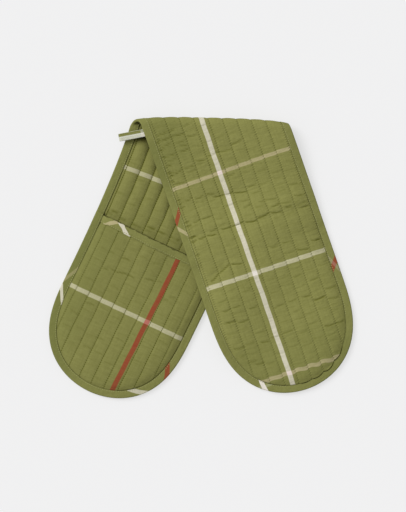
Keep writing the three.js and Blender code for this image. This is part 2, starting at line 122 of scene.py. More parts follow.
@dataclass(frozen=True)
class Quilt:
    """A quilted cloth: its lines of stitches and half its thickness at crown, line and rim."""

    pitch: float
    line: float
    crown: float
    valley: float
    rim: float
    edge: float

    def share(self, t: Array) -> Array:
        """Place across a channel, from 0 at one line of stitches to 1 at the next."""
        return np.mod((t - self.line) / self.pitch, 1.0)

    def lines(self, limit: float) -> list[float]:
        """All lines of stitches whose distance from the middle is under limit."""
        first = math.ceil((-limit - self.line) / self.pitch)
        last = math.floor((limit - self.line) / self.pitch)
        return [self.line + self.pitch * k for k in range(first, last + 1)]


UPPER = Arm(side=1, length=0.391, round=0.129, mouth=0.166)
LOWER = Arm(side=-1, length=0.409, round=0.124, mouth=0.183)
BASE = Quilt(0.0182, 0.0103, crown=0.0025, valley=0.0013, rim=0.0013, edge=0.0008)
POCKET = Quilt(0.0184, -0.00095, crown=0.0018, valley=0.0009, rim=0.0010, edge=0.0006)


@dataclass(frozen=True)
class FoldedStrip:
    """The strip's outline, its layers' thicknesses and the way it lies folded.

    The attributes of several numbers:
        tuck: how deep the fold's corners are drawn in, and how far that reaches.
        bend: where the lower arm's bend starts and ends, and its angle.
        left_spread: how far the lower arm slides at the fold's left end, and its reach.
        leg_end: where a tape's legs are turned in, and how much lower they lie there.
        mouth_fade: how far past a mouth its tape ends, and the run before that.
        bulges: how far six neighbouring channels bulge over the tape, from left to right.
        mouth_skew: from which t to which t the lower mouth runs askew, and by how much.
        creases: s and t of both ends, depth and spread of each main crease.
    """

    half_width: float = 0.095
    round_power: float = 2.8
    fold_x: float = 0.0158
    fold_y: float = 0.1791
    fold_tilt: float = math.radians(1.5)
    arm_angle: float = math.radians(20.6)
    roll_radius: float = 0.008
    roll_pinch: float = 0.18
    tuck: tuple[float, float] = (0.0032, 0.035)
    bend: tuple[float, float, float] = (0.040, 0.250, math.radians(3.9))
    left_spread: tuple[float, float] = (0.0055, 0.055)
    tape: float = 0.00085
    tape_width: float = 0.0105
    tape_seam: float = 0.0092
    seam_spread: float = 0.0009
    leg_end: tuple[float, float] = (0.0103, 0.0002)
    mouth_fade: tuple[float, float] = (0.024, 0.012)
    gap: float = 0.00035
    gape: float = 0.006
    gape_least: float = 0.001
    gape_run: float = 0.045
    rim_run: float = 0.008
    clearance: float = 0.002
    runout: float = 0.100
    spring_run: float = 0.115
    bulges: tuple[float, ...] = (0.0005, 0.0018, 0.0024, 0.0034, 0.0026, 0.0006)
    mouth_skew: tuple[float, float, float] = (-0.090, 0.010, 0.0030)
    stray: float = 0.00016
    # How dark the painted shade is under the loop and in the fold's closed left end
    painted_shade_under_loop: float = 0.88
    painted_shade_in_fold: float = 0.72
    creases: tuple[tuple[float, ...], ...] = (
        (0.146, -0.090, 0.157, 0.090, 0.0017, 0.009),
        (0.101, -0.046, 0.112, 0.020, 0.0012, 0.008),
        (0.124, -0.084, 0.131, -0.042, 0.0012, 0.008),
        (0.209, -0.080, 0.196, -0.050, 0.0013, 0.009),
        (0.044, -0.042, 0.048, 0.016, 0.0009, 0.008),
    )

    @property
    def inset(self) -> float:
        """Distance from the finished edge to a panel's own edge, inside the binding."""
        return self.tape + self.gap

    @property
    def quarter(self) -> float:
        """Length of cloth in a quarter of the fold's turn."""
        return math.pi / 2 * self.roll_radius

    @property
    def mouth_half(self) -> float:
        """Half the thickness of a pocket's mouth with its tape."""
        return POCKET.rim + self.gap + self.tape

    def round_point(self, arm: Arm, angle: Array, inset: Array) -> tuple[Array, Array]:
        """A point of the rounded end's outline, drawn in by an inset.

        Args:
            arm: the arm that ends there.
            angle: from -90 degrees at the left edge to 90 at the right one, in radians.
            inset: distance inside the finished edge.

        Returns:
            t, and y along the arm from where its end starts to be round.
        """
        share = np.maximum(np.cos(angle), 0.0) ** (2 / self.round_power)
        nx = 2 * np.sin(angle) / self.half_width
        ny = self.round_power * share ** (self.round_power - 1) / arm.round
        size = np.hypot(nx, ny)
        t = self.half_width * np.sin(angle) - inset * nx / size
        return t, arm.round * share - inset * ny / size

    def edge_distance(self, s: Array, t: Array) -> Array:
        """Distance from places of the pattern to the finished edge."""
        distance = self.half_width - np.abs(t)
        angles = np.linspace(0.0, math.pi / 2, 361)
        for arm in (UPPER, LOWER):
            y = s * arm.side - arm.start
            near = np.nonzero((s * arm.side > 0) & (y > -2 * self.tape_width))[0]
            edge_t, edge_y = self.round_point(arm, angles, 0.0)
            for part in np.array_split(near, max(1, len(near) // 4000)):
                across = edge_t[None, :] - np.abs(t[part])[:, None]
                along = edge_y[None, :] - y[part][:, None]
                nearest = np.sqrt((across**2 + along**2).min(axis=1))
                distance[part] = np.minimum(distance[part], nearest)
        return distance

    def bent(self, along: Array, t: Array) -> tuple[Array, Array]:
        """The lower arm's bend in the plane of the surface."""
        start, end, angle = self.bend
        radius = (end - start) / angle
        run = along - start
        turned = np.clip(run, 0.0, end - start) / radius
        straight = np.maximum(run - (end - start), 0.0)
        sine, cosine = np.sin(turned), np.cos(turned)
        ahead = start + radius * sine + straight * cosine + t * sine
        across = t * cosine - radius * (1 - cosine) - straight * sine
        return np.where(run > 0, ahead, along), np.where(run > 0, across, t)

    def mouth_share(self, past: Array) -> Array:
        """1 where a mouth's tape lies under the edge binding, less far past the mouth."""
        end, run = self.mouth_fade
        return np.clip((end - past) / run, 0.0, 1.0)

    def rim_share(self, distance: Array) -> Array:
        """0 at a panel's own edge and 1 at the binding's inner edge."""
        return np.clip((distance - self.inset) / (self.tape_width - self.inset), 0.0, 1.0)

    def rim(self, quilt: Quilt, distance: Array) -> Array:
        """Half a panel's thickness inside the binding."""
        return lerp(quilt.edge, quilt.rim, self.rim_share(distance))

    def seam_dip(self, distance: float, deep: float) -> float:
        """How far a tape's line of stitches draws it in, at a distance from its edge."""
        return deep * math.exp(-(((distance - self.tape_seam) / self.seam_spread) ** 2))

    def end_drop(self, distance: float) -> float:
        """How much lower a tape lies at the very end of its legs."""
        start, drop = self.leg_end
        return drop if distance > start else 0.0

    def gape_at(self, arm: Arm, along: Array, t: Array, distance: Array) -> Array:
        """How far a pocket stands off its panel."""
        inward = np.clip((distance - self.tape_width) / self.gape_run, 0.0, 1.0)
        aside = rise(arm.side * -t, -0.010, 0.042)
        near = fall(along, arm.mouth + 0.095, 0.075)
        return lerp(self.gape, self.gape_least, aside * near) * (1 - (1 - inward) ** 3)

    def pocket_depth(self, arm: Arm, along: Array, t: Array, distance: Array) -> Array:
        """Distance from the panel's middle surface to the pocket's."""
        inner = rise(distance, self.tape_width, self.rim_run)
        mouth = self.mouth_share(along - arm.mouth)
        at_rim = self.rim(BASE, distance) + self.gap + mouth * self.inset
        at_rim = at_rim + self.rim(POCKET, distance)
        inside = lerp(BASE.crown + POCKET.crown, BASE.crown + self.gap + self.mouth_half, mouth)
        return lerp(at_rim, inside, inner) + self.gape_at(arm, along, t, distance)

    def upper_stack(self, s: Array, t: Array) -> Array:
        """Height of the upper arm's middle surface over what lies under the arm."""
        distance = self.edge_distance(s, t)
        on_pocket = rise(s - UPPER.mouth, -0.066, 0.060)
        along = np.maximum(s, UPPER.mouth)
        inner = rise(distance, self.tape_width, self.rim_run)
        mouth = self.mouth_share(along - UPPER.mouth)
        last_rim = self.mouth_half + mouth * self.inset
        last_inner = lerp(POCKET.crown, self.mouth_half, mouth)
        depth = self.pocket_depth(UPPER, along, t, np.maximum(distance, self.tape_width))
        return lerp(BASE.crown, depth + lerp(last_rim, last_inner, inner), on_pocket)

    def support(self, x: Array, y: Array) -> Array:
        """Height at which the lower arm carries the upper one."""
        sine, cosine = math.sin(self.arm_angle), math.cos(self.arm_angle)
        dx, dy = x - self.fold_x, y - self.fold_y
        tilt_sine, tilt_cosine = math.sin(self.fold_tilt), math.cos(self.fold_tilt)
        away = -dx * tilt_sine - dy * tilt_cosine
        aside = dx * tilt_cosine - dy * tilt_sine
        ahead = away * cosine - aside * sine
        across = away * sine + aside * cosine
        along, t = ahead, across
        for _ in range(6):
            bent_along, bent_t = self.bent(along, t)
            along, t = along + ahead - bent_along, t + across - bent_t
        to_mouth = LOWER.mouth - self.quarter / cosine - along
        pocket_top = 2 * BASE.crown + self.gap + 2 * self.mouth_half + 0.001
        on_pocket = fall(to_mouth, 0.077, 0.070)
        top = lerp(2 * BASE.crown, pocket_top, on_pocket) + self.clearance
        beside = rise(t - self.half_width, self.clearance, self.runout)
        return top * (1 - beside)

    def crease_depth(self, s: Array, t: Array) -> Array:
        """How deep the main creases of the upper arm are."""
        depth = np.zeros_like(s)
        for s0, t0, s1, t1, deep, spread in self.creases:
            share = (t - t0) / (t1 - t0)
            ends = rise(share, -0.1, 0.25) * fall(share, 1.1, 0.25)
            off = (s - lerp(s0, s1, share)) / spread
            depth += deep * ends * np.exp(-2 * off * off)
        return depth

    def middle(self, s: Array, t: Array) -> Array:
        """The panel's middle surface, laid down: one row of x, y and z for each place."""
        sine, cosine = math.sin(self.arm_angle), math.cos(self.arm_angle)
        away = s * cosine - t * sine
        aside = s * sine + t * cosine
        to_corner = np.abs(aside) / (self.half_width / cosine)
        rolled = np.abs(away) < self.quarter
        angle = np.clip(away / self.roll_radius, -math.pi / 2, math.pi / 2)
        turned = -self.roll_radius * (1 - self.roll_pinch * to_corner**3) * np.cos(angle)
        out = np.where(rolled, turned, np.abs(away) - self.quarter)
        z = BASE.crown + np.where(rolled, self.roll_radius * (1 + np.sin(angle)), 0.0)
        leftward = (np.maximum(-t, 0.0) / self.half_width) ** 2
        spread, run = self.left_spread
        fading = np.exp(-np.maximum(out, 0.0) / run)
        slide = spread * (1 - np.sin(angle)) / 2 * leftward * fading
        aside = aside - np.where(away < self.quarter, slide, 0.0)
        deep, run = self.tuck
        out = out + deep * to_corner**4 * np.exp(-(out + self.roll_radius) / run)
        along = -s - self.quarter / cosine
        bent_along, bent_t = self.bent(along, t)
        slip_along, slip_t = bent_along - along, bent_t - t
        under = away < 0
        out = out + np.where(under, slip_along * cosine + slip_t * sine, 0.0)
        aside = aside + np.where(under, slip_t * cosine - slip_along * sine, 0.0)
        tilt_sine, tilt_cosine = math.sin(self.fold_tilt), math.cos(self.fold_tilt)
        x = self.fold_x - out * tilt_sine + aside * tilt_cosine
        y = self.fold_y - out * tilt_cosine - aside * tilt_sine
        over = np.nonzero(away >= self.quarter)[0]
        if len(over):
            spring = 2 * self.roll_radius - 2 * BASE.crown - self.clearance
            settled = rise(away[over], self.quarter, self.spring_run)
            z[over] = (
                self.support(x[over], y[over])
                + self.upper_stack(s[over], t[over])
                + spring * (1 - settled)
                - self.crease_depth(s[over], t[over])
            )
        return np.stack([x, y, z], axis=1)

    def overlap(self, s: Array, t: Array) -> Array:
        """How far the puffed channels bulge over the tape at the upper arm's rounded end."""
        channel = np.floor((t - BASE.line) / BASE.pitch).astype(int) + 2
        last = len(self.bulges) - 1
        reach = np.array(self.bulges)[np.clip(channel, 0, last)]
        reach = np.where((channel < 0) | (channel > last), 0.0, reach)
        return reach * np.sin(math.pi * BASE.share(t)) ** 0.7 * rise(s, 0.300, 0.02)

    def mouth_at(self, arm: Arm, t: Array) -> Array:
        """Distance of a pocket's mouth from the fold. The lower one lies a little askew."""
        start, end, skew = self.mouth_skew
        return arm.mouth + (skew if arm is LOWER else 0.0) * rise(t, start, end - start)

    def drift(self, s: Array, t: Array) -> Array:
        """How far a line of stitches strays to the side."""
        sway = 0.5 * np.sin(s / 0.0132 + t / 0.030 + 1.0) + np.sin(s / 0.0059 - t / 0.0175 + 2.2)
        past_tape = self.edge_distance(s, t) - self.tape_width
        return self.stray * sway * rise(past_tape, 0.002, 0.012)

    def painted_fold_shade(self, s: Array, t: Array) -> Array:
        """Painted shade in the fold's closed left end and under the loop, on the strip's inner
        side, from 0 to 1.
        """
        under_loop = np.exp(-(((s + 0.0615) / 0.0075) ** 2) - ((t + 0.074) / 0.011) ** 2)
        deep = rise(s, -0.050, 0.010) * fall(s, 0.004, 0.010)
        in_fold = deep * rise(t, -0.0965, 0.006) * fall(t, -0.060, 0.010)
        return np.maximum(self.painted_shade_under_loop * under_loop, self.painted_shade_in_fold * in_fold)

    def surface(self, s: Array, t: Array) -> tuple[Array, Array]:
        """The middle surface and its unit normals, which point to the fold's outside."""
        step = 0.6 * MM
        along = self.middle(s + step, t) - self.middle(s - step, t)
        across = self.middle(s, t + step) - self.middle(s, t - step)
        normal = np.cross(along, across)
        normal /= np.linalg.norm(normal, axis=1, keepdims=True)
        return self.middle(s, t), normal

    def lay(self, s: Array, t: Array, h: Array) -> Array:
        """Places of the pattern at heights over the middle surface, laid down."""
        middle, normal = self.surface(s, t)
        return middle + normal * h[:, None]


STRIP = FoldedStrip()


# ------------------------------------------------------------------------ relief of cloth


class Face(Enum):
    """The two faces of a quilted panel."""

    OUTER = 1
    INNER = -1


@dataclass(frozen=True)
class Pucker:
    """A fine crease across a channel of quilting, from one end to the other."""

    s0: float
    t0: float
    s1: float
    t1: float
    deep: float
    half: float = 0.0010


@dataclass(frozen=True)
class Relief:
    """The uneven fullness of a quilted face: puckers and soft lumps of wadding.

    Some of the attributes:
        lump: height of the soft lumps.
        swell: how much fuller the lower arm's channels are between fold and pocket.
    """

    quilt: Quilt
    puckers: tuple[Pucker, ...]
    lump: float
    seed: int
    swell: float = 0.0

    CHANNELS = 64
    WAVES = (0.034, 0.021, 0.013, 0.0085)
    NEAR = 0.012
    BOW = 0.0009
    WELT = 0.35

    def lumps(self, s: Array, t: Array) -> Array:
        """Soft unevenness of the wadding, different in each channel, about -1 to 1."""
        rng = np.random.default_rng(self.seed)
        channel = np.floor((t - self.quilt.line) / self.quilt.pitch).astype(int) % self.CHANNELS
        total = np.zeros_like(s)
        for wave in self.WAVES:
            phase = rng.uniform(0, 2 * math.pi, self.CHANNELS)[channel]
            stretch = rng.uniform(0.8, 1.25, self.CHANNELS)[channel]
            slant = rng.uniform(-0.35, 0.35, self.CHANNELS)[channel]
            total += np.sin((s + slant * t) * 2 * math.pi / (wave * stretch) + phase)
        return total / len(self.WAVES)

    def at(self, s: Array, t: Array) -> Array:
        """Height that the soft lumps add to the face, without the puckers."""
        belly = np.sin(math.pi * self.quilt.share(t)) ** 0.8
        round_belly = 4 * self.quilt.share(t) * (1 - self.quilt.share(t))
        raised = self.swell * rise(s, -0.190, 0.06) * fall(s, 0.0, 0.02) * round_belly
        raised = raised * (1 + 0.5 * rise(s, -0.110, 0.05))
        return self.lump * (self.lumps(s, t) - 0.5) * belly + raised

    def grooves(self, s: Array, t: Array) -> Array:
        """Depth of the puckers."""
        depth = np.zeros_like(s)
        for crease in self.puckers:
            near = np.nonzero(np.abs(s - (crease.s0 + crease.s1) / 2) < self.NEAR)[0]
            if not len(near):
                continue
            along = (t[near] - crease.t0) / (crease.t1 - crease.t0)
            inside = rise(along, -0.06, 0.2) * fall(along, 1.06, 0.2)
            bow = self.BOW * np.sin(math.pi * np.clip(along, 0, 1))
            off = (s[near] - lerp(crease.s0, crease.s1, along) - bow) / crease.half
            groove = np.exp(-off * off) - self.WELT * np.exp(-((np.abs(off) - 2.2) ** 2))
            depth[near] += crease.deep * groove * inside
        return depth


def puckers(rows: tuple[tuple[float, ...], ...]) -> tuple[Pucker, ...]:
    """Creases from rows of s0, t0, s1, t1 in millimetres and a depth in tenths of one."""
    return tuple(
        Pucker(s0 * MM, t0 * MM, s1 * MM, t1 * MM, deep * 0.1 * PUCKER_SCALE * MM)
        for s0, t0, s1, t1, deep in rows
    )


def scattered(quilt: Quilt, side: int, span: tuple[float, float], seed: int) -> tuple[Pucker, ...]:
    """Faint creases at seeded places, across the channels of an arm.

    Args:
        quilt: whose channels the creases cross.
        side: 1 for the upper arm, -1 for the lower one.
        span: nearest and furthest distance from the fold.
        seed: of the random draws.

    Returns:
        The creases, 8 to 30 mm apart in a channel.
    """
    rng = np.random.default_rng(seed)
    found = []
    for line in quilt.lines(SCATTER_LIMIT)[:-1]:
        along = span[0] + rng.uniform(0.0, 0.02)
        while along < span[1]:
            slant = rng.uniform(-0.003, 0.003)
            reach = rng.uniform(0.5, 0.95)
            start = rng.uniform(0.02, 1 - reach)
            deep = rng.uniform(0.03, 0.12) * PUCKER_SCALE * MM
            t0 = line + quilt.pitch * start
            t1 = t0 + quilt.pitch * reach
            found.append(Pucker(side * along, t0, side * (along + slant), t1, deep, 0.0013))
            along += rng.uniform(0.008, 0.030)
    return tuple(found)


# ----------------------------------------------------------------------------- finishes


class Shading:
    """Builds a material's nodes: each method adds a node and returns its output socket."""

    SPECULAR = 0.02
    SHEEN_ROUGH = 0.45
    NOISE_ROUGH = 0.6

    def __init__(self, name: str) -> None:
        """Starts a material with a principled shader.

        Args:
            name: of the material.
        """
        self.material = bpy.data.materials.new(name)
        self.material.use_nodes = True
        self.tree = self.material.node_tree
        self.shader = self.tree.nodes["Principled BSDF"]
        self.vector: Socket | None = None

    def add(self, kind: str, **settings: object) -> bpy.types.Node:
        """A new node with its settings."""
        node = self.tree.nodes.new(kind)
        for key, value in settings.items():
            setattr(node, key, value)
        return node

    def plug(self, value: Value, socket: Socket) -> None:
        """Links an output to a socket, or sets the socket to a plain value."""
        if isinstance(value, Socket):
            self.tree.links.new(value, socket)
        elif isinstance(value, tuple):
            socket.default_value = (*value, 1.0) if len(value) == 3 else value
        else:
            socket.default_value = value

    def math(self, operation: str, *values: Value) -> Socket:
        """A sum, product or other operation on one to three values."""
        node = self.add("ShaderNodeMath", operation=operation)
        for value, socket in zip(values, node.inputs):
            self.plug(value, socket)
        return node.outputs[0]

    def plus(self, first: Value, second: Value) -> Socket:
        """A sum."""
        return self.math("ADD", first, second)

    def minus(self, first: Value, second: Value) -> Socket:
        """A difference."""
        return self.math("SUBTRACT", first, second)

    def times(self, first: Value, second: Value) -> Socket:
        """A product."""
        return self.math("MULTIPLY", first, second)

    def scaled(self, value: Value, factor: Value, offset: Value) -> Socket:
        """A value times a factor, plus an offset."""
        return self.math("MULTIPLY_ADD", value, factor, offset)

    def mix(self, share: Value, first: Value, second: Value) -> Socket:
        """A colour between two colours."""
        node = self.add("ShaderNodeMix", data_type="RGBA")
        self.plug(share, node.inputs[0])
        self.plug(first, node.inputs[6])
        self.plug(second, node.inputs[7])
        return node.outputs[2]

    def band(self, value: Socket, half: float, soft: float) -> Socket:
        """1 where a value lies within half of 0, and 0 outside, with soft edges."""
        node = self.add("ShaderNodeMapRange", interpolation_type="SMOOTHSTEP")
        self.plug(self.math("ABSOLUTE", value), node.inputs[0])
        node.inputs[1].default_value = half + soft
        node.inputs[2].default_value = half - soft
        return node.outputs[0]

    def places(self, layer: str) -> tuple[Socket, Socket]:
        """The two coordinates of a piece's own UV layer, in metres."""
        uv = self.add("ShaderNodeUVMap", uv_map=layer)
        parts = self.add("ShaderNodeSeparateXYZ")
        self.plug(uv.outputs[0], parts.inputs[0])
        self.vector = uv.outputs[0]
        return parts.outputs[0], parts.outputs[1]

    def attribute(self, name: str) -> Socket:
        """A value that the piece carries at each of its points."""
        node = self.add("ShaderNodeAttribute", attribute_name=name)
        return node.outputs["Fac"]

    def noise(
        self, scale: float, detail: float, stretch: tuple[float, float, float] = (1.0, 1.0, 1.0)
    ) -> Socket:
        """Noise over the piece's coordinates, from 0 to 1."""
        mapping = self.add("ShaderNodeMapping")
        self.plug(self.vector, mapping.inputs[0])
        mapping.inputs["Scale"].default_value = stretch
        node = self.add("ShaderNodeTexNoise", noise_dimensions="3D")
        self.plug(mapping.outputs[0], node.inputs["Vector"])
        node.inputs["Scale"].default_value = scale
        node.inputs["Detail"].default_value = detail
        node.inputs["Roughness"].default_value = self.NOISE_ROUGH
        return node.outputs[0]

    def bump(self, height: Socket, depth: float, under: Socket | None = None) -> Socket:
        """A bumped normal, over another bump's normal where there is one."""
        node = self.add("ShaderNodeBump")
        node.inputs["Strength"].default_value = 1.0
        node.inputs["Distance"].default_value = depth
        self.plug(height, node.inputs["Height"])
        if under is not None:
            self.plug(under, node.inputs["Normal"])
        return node.outputs[0]

    def finish(
        self, colour: Value, rough: float, sheen: float, normal: Socket | None
    ) -> bpy.types.Material:
        """Sets the shader's sockets and returns the material."""
        sockets = self.shader.inputs
        self.plug(colour, sockets["Base Color"])
        sockets["Roughness"].default_value = rough
        sockets["Specular IOR Level"].default_value = self.SPECULAR
        sockets["Sheen Weight"].default_value = sheen
        sockets["Sheen Roughness"].default_value = self.SHEEN_ROUGH
        if normal is not None:
            self.plug(normal, sockets["Normal"])
        return self.material


THREAD_WIDTH = 0.00046
WEAVE_DEEP = 0.00003


class Yarn(Enum):
    """Colours of the yarns, and of painted shade, as scene-linear colours."""

    OLIVE = linear(139, 139, 82)
    DEEP_OLIVE = linear(119, 119, 63)
    TAPE_OLIVE = linear(137, 138, 82)
    DEEP_TAPE_OLIVE = linear(117, 118, 63)
    SHADE = linear(78, 80, 0)
    # Painted shade for narrow gaps and for the fold's closed end
    PAINTED_DEEP_SHADE = linear(44, 42, 0)
    CREAM = linear(226, 220, 200)
    WARM_CREAM = linear(226, 220, 190)
    BEIGE = linear(190, 178, 138)
    WHITE = linear(233, 226, 215)
    PALE_GREY = linear(216, 217, 200)
    ROSY_WHITE = linear(230, 214, 204)
    ROSE = linear(180, 106, 94)
    RED = linear(147, 71, 48)
    PALE = linear(158, 160, 118)
    # Painted shade: a deeper green where the glove lies darker
    PAINTED_SHADE_GREEN = linear(99, 104, 55)
    THREAD = linear(129, 131, 74)
    PALE_THREAD = linear(176, 176, 118)


@dataclass(frozen=True)
class Stripe:
    """A woven stripe: its middle, width and yarn, how much of the face it covers and its slant."""

    middle: float
    width: float
    yarn: Yarn
    cover: float
    slant: float = 0.0


@dataclass(frozen=True)
class CheckCloth:
    """Plain woven cotton with a windowpane check, quilted.

    Some of the attributes:
        seam_shade: how dark the painted shade in a line of stitches is, evenly and more at the
            needle holes.
        tone: brightness of the ground.
    """

    name: str
    lengthwise: tuple[Stripe, ...]
    crosswise: tuple[Stripe, ...]
    quilt: Quilt
    seam_shade: tuple[float, float] = (0.44, 0.38)
    tone: float = 1.0

    LIGHT = 1.12
    STRIPE_SOFT = 0.0004
    CROSSING_COVER = 0.94
    SEAM_HALF = 0.026
    CREASE_SHADE_COVER = 0.82
    # Width and softness of the painted shade line in the gap beside a tape
    GAP_HALF = 0.0006
    GAP_SOFT = 0.0005
    RUMPLE_DEEP = 0.0010
    STITCH_DEEP = 0.00022

    def weave(self, nodes: Shading, t: Socket, s: Socket) -> Socket:
        """Height of the woven threads, from -1 to 1, as a plain weave."""
        turn = math.pi / THREAD_WIDTH
        across = nodes.math("SINE", nodes.times(t, turn))
        along = nodes.math("SINE", nodes.times(s, turn))
        return nodes.times(across, along)

    def ground(self, nodes: Shading, weave: Socket, slub: Socket) -> Socket:
        """The green ground's colour, uneven as its yarns are."""
        mottle = nodes.noise(95.0, 4.0)
        cloud = nodes.noise(14.0, 2.0)
        shade = nodes.scaled(slub, 0.55, -0.05)
        shade = nodes.scaled(mottle, 0.30, nodes.minus(shade, 0.15))
        shade = nodes.scaled(cloud, 0.25, nodes.minus(shade, 0.125))
        shade = nodes.scaled(weave, 0.12, shade)
        deep = tuple(c * self.tone for c in Yarn.DEEP_OLIVE.value)
        light = tuple(c * self.tone * self.LIGHT for c in Yarn.OLIVE.value)
        colour = nodes.mix(shade, deep, light)
        # Painted shade in patches, a deeper green
        return nodes.mix(nodes.attribute("painted_shade_patch"), colour, Yarn.PAINTED_SHADE_GREEN.value)

    def striped(
        self, nodes: Shading, ground: Socket, grain: Socket, t: Socket, s: Socket
    ) -> Socket:
        """The check's stripes over the ground, and the places where they cross.

        Args:
            nodes: of the material.
            ground: the ground's colour.
            grain: how much of the stripes' cover the uneven yarns give.
            t: place across the strip.
            s: place along the strip.

        Returns:
            The colour.
        """
        colour = ground
        masks: list[list[Socket]] = []
        for value, other, stripes in ((t, s, self.lengthwise), (s, t, self.crosswise)):
            masks.append([])
            for stripe in stripes:
                off = nodes.minus(value, stripe.middle)
                off = nodes.scaled(other, -stripe.slant, off)
                mask = nodes.band(off, stripe.width / 2, self.STRIPE_SOFT)
                masks[-1].append(mask)
                cover = nodes.times(mask, nodes.times(grain, stripe.cover))
                colour = nodes.mix(cover, colour, stripe.yarn.value)
        for stripe, mask in zip(self.lengthwise, masks[0]):
            for cross, cross_mask in zip(self.crosswise, masks[1]):
                both = nodes.times(nodes.times(mask, cross_mask), self.CROSSING_COVER)
                colour = nodes.mix(both, colour, self.crossing(stripe.yarn, cross.yarn))
        return colour

    def shaded(self, nodes: Shading, colour: Socket, to_line: Socket, holes: Socket) -> Socket:
        """Painted shade in the needle holes and lines of stitches, the creases, the gap by the tape
        and the closed fold.
        """
        # Painted shade in the lines of stitches, evenly and more at the needle holes
        seam_shade = nodes.band(to_line, self.SEAM_HALF, self.SEAM_HALF)
        even, dotted = self.seam_shade
        dark = nodes.times(seam_shade, nodes.scaled(holes, dotted, even))
        dark = nodes.times(dark, nodes.attribute("painted_seam_shade"))
        colour = nodes.mix(dark, colour, Yarn.SHADE.value)
        # Painted shade in the creases
        groove = nodes.times(nodes.attribute("groove"), self.CREASE_SHADE_COVER)
        colour = nodes.mix(groove, colour, Yarn.SHADE.value)
        # Painted shade in the gap beside a tape and above a pocket's mouth
        beside = nodes.band(nodes.attribute("beside_tape"), self.GAP_HALF, self.GAP_SOFT)
        gap = nodes.times(beside, nodes.attribute("gap"))
        colour = nodes.mix(gap, colour, Yarn.PAINTED_DEEP_SHADE.value)
        # Painted shade in the fold's closed left end and under the loop
        return nodes.mix(nodes.attribute("painted_fold_shade"), colour, Yarn.PAINTED_DEEP_SHADE.value)

    def material(self) -> bpy.types.Material:
        """The cloth's material, over the UV layer called pattern."""
        nodes = Shading(self.name)
        t, s = nodes.places("pattern")
        weave = self.weave(nodes, t, s)
        slub_along = nodes.noise(420.0, 2.0, (1.0, 0.10, 1.0))
        slub_across = nodes.noise(420.0, 2.0, (0.10, 1.0, 1.0))
        slub = nodes.plus(slub_along, slub_across)
        grain = nodes.scaled(nodes.minus(slub, 1.0), 0.35, 1.0)
        colour = self.striped(nodes, self.ground(nodes, weave, slub), grain, t, s)
        share = nodes.math("DIVIDE", nodes.minus(t, self.quilt.line), self.quilt.pitch)
        to_line = nodes.math("PINGPONG", share, 0.5)
        holes = nodes.math("COSINE", nodes.times(s, 2 * math.pi / StitchRow.PITCH))
        colour = self.shaded(nodes, colour, to_line, holes)
        fine = nodes.bump(weave, WEAVE_DEEP)
        rumple = nodes.noise(230.0, 3.0, (0.5, 1.0, 1.0))
        soft = nodes.bump(rumple, self.RUMPLE_DEEP, fine)
        drawn = nodes.times(nodes.band(to_line, 0.10, 0.09), holes)
        normal = nodes.bump(drawn, -self.STITCH_DEEP, soft)
        return nodes.finish(colour, rough=0.88, sheen=0.01, normal=normal)

    def crossing(self, lengthwise: Yarn, crosswise: Yarn) -> Colour:
        """Colour where a lengthwise and a cross stripe meet, with no green yarn between."""
        if lengthwise is Yarn.RED:
            return Yarn.ROSE.value
        return Yarn.ROSY_WHITE.value if crosswise is Yarn.BEIGE else Yarn.WHITE.value


@dataclass(frozen=True)
class Mark:
    """A stripe of the check where it crosses the bias tape: two places of its middle."""

    first: Spot
    second: Spot
    width: float
    yarn: Yarn
    cover: float = 0.9


def on_tape(marks: tuple[Mark, ...], place: Callable[[Spot], Spot]) -> tuple[Mark, ...]:
    """Marks with their places of the pattern turned into places on a tape."""
    return tuple(replace(m, first=place(m.first), second=place(m.second)) for m in marks)


@dataclass(frozen=True)
class BiasCloth:
    """The same cloth as bias tape. UV layer tape: metres along the tape and across it."""

    name: str
    marks: tuple[Mark, ...]

    MARK_SOFT = 0.0005
    RUMPLE_DEEP = 0.0007

    def material(self) -> bpy.types.Material:
        """The tape's material."""
        nodes = Shading(self.name)
        u, v = nodes.places("tape")
        turn = math.pi / THREAD_WIDTH * math.sqrt(0.5)
        rising = nodes.math("SINE", nodes.times(nodes.plus(u, v), turn))
        falling = nodes.math("SINE", nodes.times(nodes.minus(u, v), turn))
        weave = nodes.times(rising, falling)
        mottle = nodes.noise(300.0, 3.0)
        cloud = nodes.noise(30.0, 2.0)
        shade = nodes.scaled(mottle, 0.8, 0.08)
        shade = nodes.scaled(cloud, 0.3, nodes.minus(shade, 0.15))
        shade = nodes.scaled(weave, 0.12, shade)
        colour = nodes.mix(shade, Yarn.DEEP_TAPE_OLIVE.value, Yarn.TAPE_OLIVE.value)
        # Painted shade in patches, a deeper green
        colour = nodes.mix(nodes.attribute("painted_shade_patch"), colour, Yarn.PAINTED_SHADE_GREEN.value)
        for mark in self.marks:
            (u0, v0), (u1, v1) = mark.first, mark.second
            slope = (u1 - u0) / (v1 - v0)
            off = nodes.scaled(v, -slope, nodes.minus(u, u0 - slope * v0))
            half = mark.width / 2 * math.hypot(1, slope)
            mask = nodes.times(nodes.band(off, half, self.MARK_SOFT), mark.cover)
            colour = nodes.mix(mask, colour, mark.yarn.value)
        # Painted shade in the fold's closed left end, on the tape's inner leg
        colour = nodes.mix(nodes.attribute("painted_fold_shade"), colour, Yarn.PAINTED_DEEP_SHADE.value)
        fine = nodes.bump(weave, WEAVE_DEEP)
        rumple = nodes.noise(260.0, 3.0, (0.7, 1.0, 1.0))
        normal = nodes.bump(rumple, self.RUMPLE_DEEP, fine)
        return nodes.finish(colour, rough=0.88, sheen=0.01, normal=normal)


